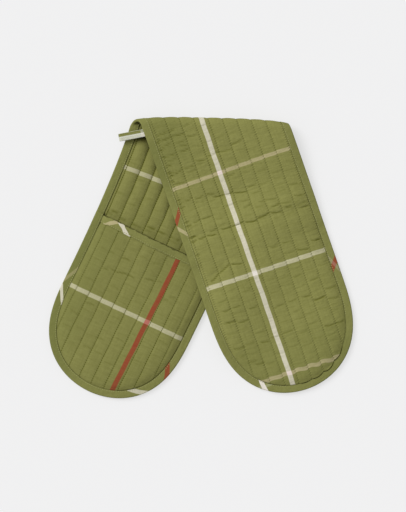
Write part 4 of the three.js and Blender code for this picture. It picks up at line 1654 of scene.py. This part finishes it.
        # Painted shade in the fold's closed left end, on the tape's inner leg only
        inner_side = fall(height.ravel(), 0.0, 0.001)
        set_value(mesh, "painted_fold_shade", (STRIP.painted_fold_shade(spot_s, spot_t) * inner_side)[index])
        closed(mesh, weld=True)
        marks = on_tape(self.marks, self.tape_place)
        piece = show(mesh, (BiasCloth("edge_tape_cloth", marks).material(),))
        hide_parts("edge_binding")
        return piece

    def sew(self, row: StitchRow) -> None:
        """Sews the tape's line of stitches on both faces, but not where channels bulge over it."""
        s, angle, kind, _ = self.path()
        at = np.full_like(s, STRIP.tape_seam)
        where_s, where_t = self.place(s, angle, kind, at)
        bulged = STRIP.overlap(where_s, where_t) > 0.0002
        edge_s, mouth = self.mouths(s, angle, kind)
        top = STRIP.rim(BASE, at) + STRIP.gap + STRIP.tape
        low = self.under(mouth, np.abs(edge_s), at) + STRIP.tape
        first, last = np.nonzero(bulged)[0][[0, -1]]
        for part in (slice(0, first), slice(last + 1, None)):
            sunk = np.where(kind == 0, row.SUNK_IN_RIGHT_TAPE, row.SUNK_IN_TAPE)
            row.sew(where_s[part], where_t[part], (top - sunk)[part])
        row.sew(where_s, where_t, row.SUNK_BELOW - low)


@dataclass
class MouthBinding:
    """The tape over a pocket's top edge.

    Some of the attributes:
        shoulder: distance from the mouth at which the turn over the edge starts.
        seam_deep: how far the stitches draw the tape in.
        sway: how far the tape strays along the arm, in waves of the lengths in waves.
        back_place: place across the tape of the faces that lie on the pocket.
        seam_end: distance from the finished edge at which the stitches end.
        legs: distances of the points of a leg from the mouth, in millimetres.
    """

    arm: Arm
    node: str
    marks: tuple[Mark, ...] = ()
    step: float = 0.0014
    shoulder: float = 0.0013
    seam_deep: float = 0.00042
    sway: float = 0.0003
    back_place: float = 0.011
    seam_end: float = 0.011
    waves: tuple[float, ...] = (0.035, 0.017, 0.009)
    legs: tuple[float, ...] = (10.45, 10.15, 9.7, 9.2, 8.7, 7.4, 5.8, 4.2, 2.8, 1.8)

    def section(self, distance: Array) -> tuple[Array, Array, Array]:
        """The closed section at each place across: distance past the mouth, height, place."""
        inner = STRIP.rim(POCKET, distance) + STRIP.gap
        outer = inner + STRIP.tape
        width = STRIP.tape_width
        legs = [leg * MM for leg in self.legs]
        drops = [STRIP.seam_dip(leg, self.seam_deep) + STRIP.end_drop(leg) for leg in legs]
        rows: list[tuple[float, Array, float]] = []
        for leg, drop in zip(legs, drops):
            rows.append((leg, outer - drop, leg))
        for past, sine in rounded(self.shoulder):
            rows.append((past, outer * sine, self.shoulder * sine))
        for leg, drop in zip(legs[::-1], drops[::-1]):
            rows.append((leg, drop - outer, -leg))
        for past, face in ((width, -1), (STRIP.tape, -1), (STRIP.tape, 1), (width, 1)):
            rows.append((past, face * inner, face * self.back_place))
        past = np.array([row[0] for row in rows])
        height = np.stack([np.broadcast_to(row[1], distance.shape) for row in rows], axis=1)
        place = np.array([row[2] for row in rows])
        return np.broadcast_to(past, height.shape), height, place

    def build(self) -> bpy.types.Object:
        """Makes the tape as closed sections from side to side, with closed ends."""
        edge = STRIP.half_width - STRIP.inset
        t = spaced(-edge, edge, self.step)
        distance = STRIP.half_width - np.abs(t)
        past, height, place = self.section(distance)
        rings, points = past.shape
        rng = np.random.default_rng(7)
        wave = sum(np.sin(t * 2 * math.pi / w + rng.uniform(0, 6.28)) for w in self.waves)
        past = past + self.sway * wave[:, None]
        mesh, spots = flat_grid(self.node + "_tape", points, rings + 1, thick=False)
        column, row, _ = spots.T
        ring = np.clip(row - 1, 0, rings - 1)
        index = ring * points + column % points
        spot_s = (self.arm.side * (STRIP.mouth_at(self.arm, t)[:, None] + past)).ravel()
        spot_t = np.repeat(t, points)
        spot_h = (height - self.depth(t)[:, None]).ravel()
        places = STRIP.lay(spot_s, spot_t, spot_h)
        set_places(mesh, places[index])
        set_layer(mesh, "tape", np.stack([t[ring], -place[column % points]], axis=1))
        self.close_ends(mesh, row, rings)
        marks = on_tape(self.marks, self.tape_place)
        piece = show(mesh, (BiasCloth(self.node + "_cloth", marks).material(),))
        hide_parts(self.node)
        return piece

    def depth(self, t: Array) -> Array:
        """Distance of the mouth's middle from the strip's."""
        distance = STRIP.half_width - np.abs(t)
        return STRIP.pocket_depth(self.arm, np.full_like(t, self.arm.mouth), t, distance)

    def sew(self, row: StitchRow) -> None:
        """Sews the tape's line of stitches on both faces."""
        end = STRIP.half_width - self.seam_end
        t = spaced(-end, end, row.STEP)
        s = self.arm.side * (STRIP.mouth_at(self.arm, t) + STRIP.tape_seam)
        distance = STRIP.half_width - np.abs(t)
        outer = STRIP.rim(POCKET, distance) + STRIP.inset - row.SUNK_IN_TAPE
        depth = self.depth(t)
        row.sew(s, t, outer - depth)
        row.sew(s, t, -outer - depth)

    def close_ends(self, mesh: bpy.types.Mesh, row: Array, rings: int) -> None:
        """Takes away the end rows, welds the tube and fills its two open ends."""
        work = bmesh.new()
        work.from_mesh(mesh)
        work.verts.ensure_lookup_table()
        spare = [work.verts[i] for i in np.nonzero((row == 0) | (row == rings + 1))[0]]
        bmesh.ops.delete(work, geom=spare, context="VERTS")
        bmesh.ops.remove_doubles(work, verts=work.verts[:], dist=WELD)
        rim = [edge for edge in work.edges if len(edge.link_faces) == 1]
        ends = bmesh.ops.edgenet_fill(work, edges=rim)["faces"]
        bmesh.ops.triangulate(work, faces=ends)
        work.to_mesh(mesh)
        work.free()
        closed(mesh)

    def tape_place(self, spot: Spot) -> Spot:
        """Where a place of the pattern, given as s and t, lies on the tape."""
        return spot[1], abs(spot[0]) - self.arm.mouth


@dataclass
class HangingLoop:
    """A flat tape that leaves the left edge, turns back and returns beneath itself.

    Some of the attributes:
        s: place along the strip where the loop is sewn in.
        tape: thickness of the tape.
        heading: direction of the loop, seen from above.
        reach: length before the turn.
        bight: radius of the turn.
        drop: how much lower the turn lies than the root.
        sewn_in: how far the root reaches under the edge binding's inner edge.
    """

    s: float = -0.008
    width: float = 0.010
    tape: float = 0.0009
    heading: float = math.radians(190.7)
    reach: float = 0.041
    bight: float = 0.0031
    drop: float = 0.0022
    sewn_in: float = 0.001

    def path(self) -> tuple[Array, Array]:
        """Places along the loop: distance out from its root, and height under it."""
        share = np.linspace(0.0, 1.0, 28)
        turn = np.linspace(0.0, math.pi, 18)[1:-1]
        back = share[::-1]
        apart = lerp(self.tape + STRIP.gap, 2 * self.bight, smooth(back * 1.6))
        ahead = np.concatenate(
            [share * self.reach, self.reach + self.bight * np.sin(turn), back * self.reach]
        )
        below = np.concatenate(
            [
                -self.drop * smooth(share),
                -self.drop - self.bight * (1 - np.cos(turn)),
                -self.drop * smooth(back) - apart,
            ]
        )
        return ahead, below

    def build(self) -> bpy.types.Object:
        """Makes the loop as a plate that is bent along its path."""
        ahead, below = self.path()
        steps = np.hypot(np.diff(ahead), np.diff(below))
        run = np.concatenate([[0], np.cumsum(steps)])
        slope = np.stack([np.gradient(ahead), np.gradient(below)], axis=1)
        slope /= np.linalg.norm(slope, axis=1, keepdims=True)
        across = np.array([-1, -0.985, -0.93, -0.8, -0.5, -0.15, 0.15, 0.5, 0.8, 0.93, 0.985, 1])
        mesh, spots = flat_grid("hanging_loop_tape", len(across) - 1, len(ahead) - 1, thick=True)
        column, row, layer = spots.T
        root = STRIP.lay(
            np.array([self.s]),
            np.array([-STRIP.half_width + STRIP.tape_width - self.sewn_in]),
            np.array([-BASE.crown - STRIP.gap - self.tape / 2]),
        )[0]
        forward = np.array([math.cos(self.heading), math.sin(self.heading), 0.0])
        aside = np.array([-forward[1], forward[0], 0.0])
        lift = -slope[:, 1:] * forward + slope[:, :1] * np.array([0.0, 0.0, 1.0])
        edge = np.abs(across)
        thick = self.tape * np.where(edge > 0.9, 1 - 0.5 * ((edge - 0.9) / 0.1) ** 2, 1.0)
        thick = thick * np.where(np.abs(edge - 0.8) < 0.01, 0.8, 1.0)
        side = across[column] * self.width / 2
        high = (0.5 - layer) * thick[column]
        places = root + forward * ahead[row, None]
        places[:, 2] += below[row]
        places = places + aside * side[:, None] + lift[row] * high[:, None]
        set_places(mesh, places)
        set_layer(mesh, "tape", np.stack([run[row], side], axis=1))
        closed(mesh)
        piece = show(mesh, (LoopCloth().material(),))
        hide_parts("hanging_loop")
        return piece


# ---------------------------------------------------------------------------------- studio


@dataclass
class Studio:
    """A plain pale floor, soft light and a camera straight above.

    Some of the attributes:
        view: x and y of the middle of the picture.
        view_height: height of what the picture shows, at the floor.
        distance: height of the camera.
        sensor: height of the camera's sensor, in millimetres.
        key_from: azimuth and height of the sun, in degrees.
        key_size: the sun's angular size, which softens its shadows.
    """

    floor_colour: Colour = linear(138, 138, 138)
    floor_glow: float = 0.62
    floor_size: float = 4.0
    floor_drop: float = 0.0003
    view: tuple[float, float] = (0.0027, 0.0024)
    view_height: float = 0.695
    distance: float = 2.4
    sensor: float = 24.0
    sky_colour: Colour = (0.99, 0.985, 1.02)
    sky: float = 0.50
    key: float = 2.23
    key_from: tuple[float, float] = (144.0, 46.0)
    key_size: float = math.radians(35)

    def floor(self) -> None:
        """Lays the floor."""
        work = bmesh.new()
        bmesh.ops.create_grid(work, x_segments=2, y_segments=2, size=self.floor_size)
        mesh = as_mesh(work, "floor")
        mesh.transform(Matrix.Translation((0.0, 0.0, -self.floor_drop)))
        nodes = Shading("floor_paper")
        nodes.finish(self.floor_colour, rough=0.9, sheen=0.0, normal=None)
        nodes.shader.inputs["Emission Color"].default_value = (1.0, 1.0, 1.0, 1.0)
        nodes.shader.inputs["Emission Strength"].default_value = self.floor_glow
        mesh.materials.append(nodes.material)
        plane = placed("floor", mesh)

    def light(self) -> None:
        """Sets the sky's even light, and one large soft light high on the left."""
        world = bpy.data.worlds.new("studio")
        world.use_nodes = True
        sky = world.node_tree.nodes["Background"]
        sky.inputs[0].default_value = (*self.sky_colour, 1.0)
        sky.inputs[1].default_value = self.sky
        bpy.context.scene.world = world
        light = bpy.data.lights.new("key", "SUN")
        light.energy = self.key
        light.angle = self.key_size
        lamp = placed("key", light)
        azimuth, height = (math.radians(angle) for angle in self.key_from)
        level = math.cos(height)
        aim = Vector((math.cos(azimuth) * level, math.sin(azimuth) * level, math.sin(height)))
        lamp.rotation_euler = aim.to_track_quat("Z", "Y").to_euler()

    def camera(self) -> None:
        """Puts the camera over the glove, looking straight down."""
        lens = bpy.data.cameras.new("camera")
        lens.sensor_fit = "VERTICAL"
        lens.sensor_height = self.sensor
        lens.lens = self.sensor * self.distance / self.view_height
        lens.clip_end = 50.0
        camera = placed("camera", lens)
        camera.location = (*self.view, self.distance)
        bpy.context.scene.camera = camera

    def build(self) -> None:
        """Makes the whole studio."""
        self.camera()
        self.floor()
        self.light()
        bpy.context.scene.view_settings.view_transform = "Standard"


# ------------------------------------------------------------------------------- the glove


class OvenGlove:
    """The whole double oven glove."""

    def base_panel(self) -> BasePanel:
        """The long strip with its outer cloth, its lining and their creases."""
        outer = CheckCloth(
            "base_outer_cloth",
            (Stripe(-0.0163, 0.0065, Yarn.CREAM, 0.71),),
            (
                Stripe(0.0753, 0.0050, Yarn.BEIGE, 0.62, -0.015),
                Stripe(0.2193, 0.0060, Yarn.WARM_CREAM, 0.47, 0.010),
                Stripe(0.3618, 0.0054, Yarn.BEIGE, 0.60, 0.015),
                Stripe(-0.0710, 0.0060, Yarn.WARM_CREAM, 0.42),
                Stripe(-0.2160, 0.0050, Yarn.BEIGE, 0.50),
                Stripe(-0.3600, 0.0060, Yarn.WARM_CREAM, 0.42),
            ),
            BASE,
        )
        lining = CheckCloth(
            "base_lining_cloth",
            (Stripe(0.0560, 0.0065, Yarn.RED, 0.88),),
            (
                Stripe(-0.1090, 0.0062, Yarn.WARM_CREAM, 0.38),
                Stripe(-0.2530, 0.0050, Yarn.BEIGE, 0.50),
                Stripe(0.0350, 0.0050, Yarn.BEIGE, 0.50),
                Stripe(0.1790, 0.0062, Yarn.WARM_CREAM, 0.42),
            ),
            BASE,
            seam_shade=(0.94, 0.26),
            tone=0.92,
        )
        faint = scattered(BASE, 1, (0.010, 0.375), 5) + scattered(BASE, -1, (0.0, 0.400), 6)
        top = Relief(BASE, puckers(UPPER_PUCKERS) + faint, lump=0.00022, seed=11)
        faint = scattered(BASE, -1, (0.0, 0.400), 8) + scattered(BASE, 1, (0.0, 0.380), 9)
        low = Relief(BASE, puckers(LINING_PUCKERS) + faint, lump=0.00026, seed=12, swell=0.0018)
        return BasePanel("base_quilted_panel", "base_panel", BASE, outer, lining, top, low)

    def pocket_panels(self) -> tuple[PocketPanel, PocketPanel]:
        """The lower pocket, which shows, and the upper one with guessed cloth and creases."""
        seen = CheckCloth(
            "lower_pocket_cloth",
            (Stripe(0.03625, 0.0066, Yarn.RED, 0.92, 0.0178),),
            (Stripe(-0.2898, 0.0060, Yarn.WARM_CREAM, 0.42),),
            POCKET,
            seam_shade=(0.66, 0.42),
            tone=0.92,
        )
        hidden = CheckCloth(
            "upper_pocket_cloth",
            (Stripe(-0.0450, 0.0066, Yarn.CREAM, 0.66),),
            (Stripe(0.2600, 0.0050, Yarn.BEIGE, 0.50),),
            POCKET,
            tone=0.92,
        )
        faint = scattered(POCKET, -1, (0.200, 0.395), 15)
        seen_face = Relief(POCKET, puckers(POCKET_PUCKERS) + faint, lump=0.00024, seed=14)
        faint = scattered(POCKET, 1, (0.185, 0.380), 16)
        hidden_face = Relief(POCKET, faint, lump=0.00024, seed=17)
        plain_face = Relief(POCKET, (), lump=0.00020, seed=18)
        return (
            PocketPanel(
                "lower_pocket_quilted_panel", "lower_pocket", POCKET, seen, seen,
                plain_face, seen_face, arm=LOWER,
            ),
            PocketPanel(
                "upper_pocket_quilted_panel", "upper_pocket", POCKET, hidden, hidden,
                plain_face, hidden_face, arm=UPPER, step=0.0022,
            ),
        )

    def seams(
        self, base: BasePanel, pockets: tuple[PocketPanel, ...], edge: EdgeBinding,
        mouths: tuple[MouthBinding, ...],
    ) -> list[bpy.types.Object]:
        """Sews the quilting and the tapes.

        Args:
            base: the long strip.
            pockets: both pockets.
            edge: the edge binding.
            mouths: both mouth bindings.

        Returns:
            The pieces of stitches.
        """
        thread = Thread("quilting_thread", Yarn.THREAD)
        quilted = StitchRow("base_quilting_stitches", thread, "quilted_cotton")
        for arm in (UPPER, LOWER):
            for face in Face:
                base.sew(quilted, arm, 0.0, face)
        on_pockets = StitchRow("pocket_quilting_stitches", thread, "quilted_cotton")
        for panel in pockets:
            panel.sew(on_pockets, panel.arm, panel.arm.mouth + panel.first_stitch, Face.INNER)
        pale_thread = Thread("binding_thread", Yarn.PALE_THREAD)
        bound = StitchRow("binding_stitches", pale_thread, "tape_cotton")
        for tape in (edge, *mouths):
            tape.sew(bound)
        return [row.build() for row in (quilted, on_pockets, bound)]

    def build(self) -> None:
        """Makes every piece in the order in which a maker sews them."""
        base = self.base_panel()
        pockets = self.pocket_panels()
        strip = base.build()
        pocket_pieces = [pocket.build() for pocket in pockets]
        edge = EdgeBinding(EDGE_MARKS)
        edge_tape = edge.build()
        mouths = (
            MouthBinding(LOWER, "lower_mouth_binding", MOUTH_MARKS),
            MouthBinding(UPPER, "upper_mouth_binding"),
        )
        mouth_tapes = [mouth.build() for mouth in mouths]
        loop = HangingLoop().build()
        seams = self.seams(base, pockets, edge, mouths)


EDGE_MARKS = (
    Mark((0.1076, -0.0850), (0.1205, -0.0950), 0.0052, Yarn.RED),
    Mark((0.1410, -0.0849), (0.1290, -0.0945), 0.0043, Yarn.BEIGE, 0.62),
    Mark((0.2498, 0.0839), (0.2360, 0.0948), 0.0064, Yarn.RED),
    Mark((0.2315, 0.0846), (0.2511, 0.0936), 0.0040, Yarn.ROSY_WHITE, 0.12),
    Mark((0.3682, -0.0431), (0.3681, -0.0616), 0.0038, Yarn.PALE, 0.7),
    Mark((0.3597, -0.0553), (0.3743, -0.0538), 0.0060, Yarn.WHITE, 0.9),
    Mark((-0.2702, -0.0865), (-0.2854, -0.0937), 0.0040, Yarn.BEIGE, 0.3),
    Mark((-0.3165, -0.0836), (-0.2982, -0.0937), 0.0040, Yarn.CREAM, 0.7),
    Mark((-0.3296, 0.0811), (-0.3446, 0.0882), 0.0064, Yarn.RED),
    Mark((-0.3816, 0.0522), (-0.3781, 0.0710), 0.0060, Yarn.CREAM, 0.6),
)
MOUTH_MARKS = (
    Mark((-0.1944, -0.0769), (-0.1840, -0.0634), 0.0050, Yarn.BEIGE, 0.7),
    Mark((-0.1944, -0.0418), (-0.1840, -0.0562), 0.0056, Yarn.CREAM, 0.75),
)

# Creases: s0, t0, s1, t1 in millimetres and depth in tenths of one
UPPER_PUCKERS = (
    (7, -84.2, 6.6, -77, 6), (10, -84.2, 9.5, -79, 6), (20.3, -84.2, 19.8, -76, 5),
    (31, -84.2, 30.6, -78, 6), (44, -84.2, 43.4, -75, 6), (52.5, -84.2, 52.1, -77, 6),
    (58.5, -84.2, 58, -78, 6), (66, -84.2, 65.4, -77, 6), (91.5, -84.2, 91, -76, 6),
    (97.5, -84.2, 97, -77, 7), (103.5, -84.2, 103, -75, 6), (124.5, -84.2, 124, -77, 6),
    (130, -84.2, 129.5, -75, 6), (146, -84.2, 145.4, -76, 9), (152, -84.2, 151.6, -76, 7),
    (171, -84.2, 170.6, -77, 5), (156, 84.2, 155.6, 74, 3), (149, 84.2, 148.6, 76, 2),
    (139, 84.2, 138.6, 75, 3), (124, 84.2, 124.4, 77, 3), (203, 84.2, 202.6, 75, 4),
    (102, 84.2, 101.6, 76, 2), (0.7, -80.5, -0.2, -63.9, 5), (8.6, -80.5, 8.1, -62.4, 6),
    (17.2, -79.7, 15.8, -65.4, 5), (30.8, -79.7, 31.5, -63.9, 5), (38.6, -80.5, 37.5, -63.9, 4),
    (54.1, -80.5, 52.9, -71.5, 5), (57.9, -80.5, 54.4, -62.7, 6), (69.2, -80.5, 71, -63.9, 4),
    (96.2, -72.2, 94.5, -62.7, 6), (95.6, -80.5, 97.1, -73, 2), (128.5, -72.2, 126.8, -62.7, 6),
    (133.3, -79.7, 132.5, -64.7, 2), (144.9, -80.5, 146.2, -71.5, 5),
    (151.8, -73.3, 150.9, -62.4, 8), (164.2, -79.7, 165.1, -65.4, 2), (0.6, -62.4, -1.4, -53.1, 6),
    (7.8, -62.4, 9.8, -44.6, 6), (18.2, -59.7, 19.1, -47.3, 5), (31.7, -57.9, 30.9, -45.5, 6),
    (24.3, -55.6, 25.5, -45.8, 5), (53.4, -62.4, 55, -46.6, 6), (59.7, -59.4, 60.9, -45.1, 4),
    (97.7, -59.4, 97.1, -47.3, 6), (102.4, -62.4, 105.4, -47.3, 2), (127.1, -61.2, 127.1, -46.7, 6),
    (146.4, -54.9, 145, -44.6, 5), (150.6, -61.2, 153, -47.9, 8), (135.5, -60.9, 134, -47.3, 2),
    (0.6, -43.6, -0.5, -32.3, 4), (8.1, -42.8, 7.4, -29.2, 3), (14.6, -42.8, 17, -29.2, 4),
    (30, -41.3, 31.5, -27.7, 2), (49.3, -43.1, 52.3, -29.2, 6), (55.6, -41.3, 54.4, -29.2, 3),
    (96, -43.6, 98.2, -33.5, 6), (103.6, -35.6, 105.5, -19.4, 8), (108.4, -42.8, 107.2, -32.3, 3),
    (117.4, -42.8, 119, -29.2, 2), (143.1, -41.3, 141.6, -29.2, 3), (148.8, -39.5, 150, -25.5, 8),
    (150, -25.5, 148.4, -7.8, 8), (133.3, -42.8, 134, -32.3, 3), (49.6, -26.1, 47.5, -7.8, 5),
    (30, -26.1, 30.9, -11.1, 3), (7.7, -23.2, 6.6, -9.6, 3), (105.4, -19.4, 105.7, -7.8, 7),
    (121.2, -23.2, 120.5, -9.6, 3), (158.2, -25.5, 157.4, -11.1, 2), (48.7, -11.1, 50.5, 10.3, 5),
    (30, -7.8, 28.5, 7, 3), (83.1, -6.3, 82, 3.2, 4), (107.6, -7.4, 111.7, 10.3, 8),
    (131.3, -2.1, 129.5, 10.3, 5), (121.2, -3.6, 122.7, 8.5, 3), (150, -6.3, 153.3, 10, 9),
    (141.6, -5.1, 142.3, 8.5, 2), (44.5, 10.3, 43, 25.8, 6), (30.8, 11.5, 30, 25, 2),
    (54.4, 13, 55.6, 25, 2), (106.3, 13, 105.4, 25.3, 5), (115.9, 13, 116.8, 26.6, 3),
    (129.8, 19.8, 131.3, 28.1, 4), (150.8, 11.2, 148.1, 28.8, 9), (135.5, 13, 137.1, 25, 3),
    (130.3, 28.8, 133.3, 44.9, 4), (108.4, 28.8, 107.6, 44.6, 3), (90.3, 30.3, 91.2, 44.6, 2),
    (119.4, 28.8, 121.2, 45.4, 2), (141.9, 34.1, 140.7, 46.8, 6), (148.4, 29.6, 152.4, 45.4, 7),
    (158.2, 31.1, 157.4, 44.6, 2), (97.8, 47.7, 99.1, 62.7, 2), (117.4, 47.7, 115.6, 62.7, 2),
    (126.5, 48.4, 125, 61.2, 3), (147.9, 50.7, 148.8, 60, 6), (141.6, 47.7, 143.4, 62.7, 4),
    (158.9, 47.7, 158.2, 61.2, 2), (101.2, 65.8, 100.6, 80.8, 2), (121.2, 65.8, 122.7, 79.3, 3),
    (136.7, 67.3, 140.4, 78.1, 5), (150.6, 65.8, 149.1, 80.8, 3), (155.1, 68, 155.4, 83.5, 4),
    (146.1, 65.8, 144.9, 73.3, 3), (211.6, -76.7, 204.1, -62.4, 8), (204.1, -62.4, 196.2, -44.6, 8),
    (240.8, -75.2, 240.2, -62.7, 3), (254.4, -73.3, 252.9, -62.1, 5), (269.2, -75.2, 271, -60.6, 6),
    (269.9, -79, 270.4, -69.9, 3), (284.3, -79, 285.5, -63.9, 2), (306.9, -75.7, 307.8, -60.1, 6),
    (318.9, -73, 318.6, -62.4, 2), (330.1, -66.2, 330.1, -62.4, 3), (240.5, -60.9, 241.4, -45.8, 2),
    (253.5, -59.4, 252.6, -48.5, 5), (261.4, -62.4, 262, -47.3, 2), (274.6, -59.7, 274.9, -44.6, 6),
    (284.3, -60.9, 283.1, -47.3, 2), (306.4, -59.7, 305.4, -47.3, 4),
    (318.9, -61.7, 320.2, -47.3, 2), (330.1, -62.4, 329.5, -50.6, 4),
    (336.4, -54.6, 336.1, -41.9, 6), (197.1, -42.8, 201, -27.7, 7), (219.4, -43.6, 220.2, -27.7, 2),
    (237.5, -41.3, 236.3, -27.7, 3), (262, -39.5, 261.1, -27, 5), (270.7, -42.8, 272.2, -27.7, 2),
    (295.6, -43.6, 296.6, -27.7, 3), (309.9, -40.1, 311.4, -27, 6), (323.5, -42.8, 322.3, -27.7, 2),
    (340.1, -42.8, 341, -27.7, 2), (224, -26.1, 224.9, -8.1, 2), (246.6, -26.1, 245.7, -9.6, 2),
    (281.3, -23.2, 282.5, -9.6, 2), (309.1, -25.5, 308.4, -8.9, 3), (332.5, -23.2, 331.8, -9.6, 2),
    (251.1, -6.3, 252.3, 9.2, 2), (270.1, -3.6, 271, 8.8, 4), (272.2, -7.5, 271, -2.1, 3),
    (293.3, -5.9, 292.1, 8.5, 2), (308.7, -6.9, 307.6, 7.7, 5), (328, -6.6, 329.2, 8.5, 2),
    (192.3, 13, 191.4, 26.6, 4), (194.4, 15.7, 194.1, 25.6, 4), (210.4, 11.5, 211.3, 26.6, 2),
    (237.5, 11.5, 236.3, 26.6, 2), (270.1, 12.7, 270.4, 26.6, 4), (284.3, 13.7, 285.5, 26.6, 2),
    (295.7, 15.2, 296.6, 26.6, 3), (315.9, 13, 314.7, 26.6, 2), (332.5, 11.5, 333.4, 26.6, 2),
    (192.3, 30.8, 193.8, 44.6, 4), (206.6, 28.8, 207.7, 45.4, 3), (241.4, 29.9, 240.5, 43.1, 3),
    (270.4, 34.4, 271.6, 45.4, 6), (256.4, 29.6, 255.3, 44.6, 2), (293.3, 28.8, 294.2, 44.6, 2),
    (308.4, 29.6, 307.2, 44.6, 2), (328, 28.8, 328.7, 44.6, 2), (207.4, 46.8, 211.3, 63.6, 6),
    (252.9, 50.7, 252.3, 63.5, 4), (237.5, 47.7, 238.4, 62.7, 2), (280, 46.8, 278.8, 63.9, 8),
    (293.3, 47.7, 294.2, 62.7, 2), (317.4, 49.2, 318.6, 63.6, 6), (331, 49.2, 330.1, 62.7, 2),
    (202.2, 69.7, 203.8, 81.7, 6), (217.9, 65.8, 217.2, 80.8, 2), (237.5, 65.8, 238.4, 80.8, 2),
    (269.9, 65.5, 271, 82.6, 5), (284, 65.8, 285.8, 81.7, 5), (318.6, 63.3, 317.7, 78.6, 6),
    (299.3, 64.8, 300.6, 77.8, 2),
)
POCKET_PUCKERS = (
    (-226, -56.2, -225.4, -49, 3), (-226, -37.3, -225.4, -24.6, 5),
    (-213.9, -16.3, -212.8, -6.4, 2), (-216.1, 2.9, -211, 14.4, 3),
    (-242.6, -71.4, -243.9, -56.2, 2), (-250.6, -54.6, -249, -46.3, 4),
    (-246.8, -44.2, -247.4, -35.4, 3), (-247.4, -36.1, -243.6, -21.1, 6),
    (-243.6, -21.1, -244.5, -9.6, 5), (-239.1, 2.9, -235.6, 16.6, 5),
    (-235.3, 18.8, -233.4, 27.1, 3), (-253.8, 37.7, -250.9, 43.1, 3),
    (-246.5, 43.8, -243.9, 52.7, 3), (-272.6, -70.6, -271.4, -56.2, 2),
    (-282.2, -53, -280.9, -38.6, 2), (-266.3, -35.4, -267.5, -21.1, 2),
    (-280.6, -16.3, -281.9, -1.9, 2), (-263.1, 1.3, -261.8, 15.7, 2), (-279, 18.8, -278.4, 26.8, 2),
    (-231.1, 55.6, -232.7, 71.5, 2), (-266.3, 56.4, -265, 71.5, 2),
    (-302.7, -54.9, -300.4, -41.5, 4), (-298.5, -35.4, -299.8, -21.1, 2),
    (-304.6, -16.3, -303.3, -1.9, 2), (-311, -56.2, -311.9, -41.8, 2),
    (-338.9, -22.7, -337.5, -9.9, 3), (-326.9, 1.3, -328.2, 15.7, 2),
    (-314.1, 18.8, -312.9, 25.2, 2), (-304.6, 55.6, -305.8, 70.7, 2),
    (-326.9, 55.6, -325.6, 69.9, 2), (-356, -33, -355, -19.5, 3), (-357.3, -14.7, -355.7, -2.7, 3),
    (-358.8, -54.6, -360.1, -40.2, 2), (-363.6, 1.3, -362.4, 15.7, 2),
    (-342.9, 36.4, -344.2, 52.4, 2), (-320.5, -70.6, -321.8, -56.2, 3),
    (-342.9, -69.8, -341.6, -56.2, 2), (-336.5, -53, -337.8, -38.6, 2),
)
LINING_PUCKERS = (
    (-174.8, -80.9, -171.6, -67, 6), (-178.4, -83, -179.6, -70.6, 3),
    (-178, -62.9, -178.6, -52.7, 4), (-172.2, -48.2, -170.9, -37.8, 3),
    (-178.9, -46.9, -177, -29.4, 5), (-174.1, -27.5, -172.5, -12.3, 6),
    (-178.4, -25.9, -179.2, -13.1, 3), (-173.2, -9.6, -173.8, 5.8, 6),
    (-177.6, -6.7, -176.7, 4.8, 3), (-172.2, 8.9, -172.2, 23.6, 6), (-177.6, 8.9, -178.6, 23.6, 3),
    (-120.2, -63.4, -118.6, -52.2, 2), (-139.3, -46.6, -138.1, -30.6, 2),
    (-148.9, -27.5, -150.2, -13.1, 2), (-145.7, -81.7, -147, -67.4, 2),
    (-155.3, -63.4, -154, -48.2, 2), (-101, -81.7, -99.7, -69, 2),
)


def main() -> None:
    """Loads the frame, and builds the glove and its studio."""
    logging.basicConfig(level=logging.INFO, format="%(name)s %(message)s")
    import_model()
    Studio().build()
    OvenGlove().build()
    bpy.context.view_layer.update()


if __name__ == "__main__":
    main()
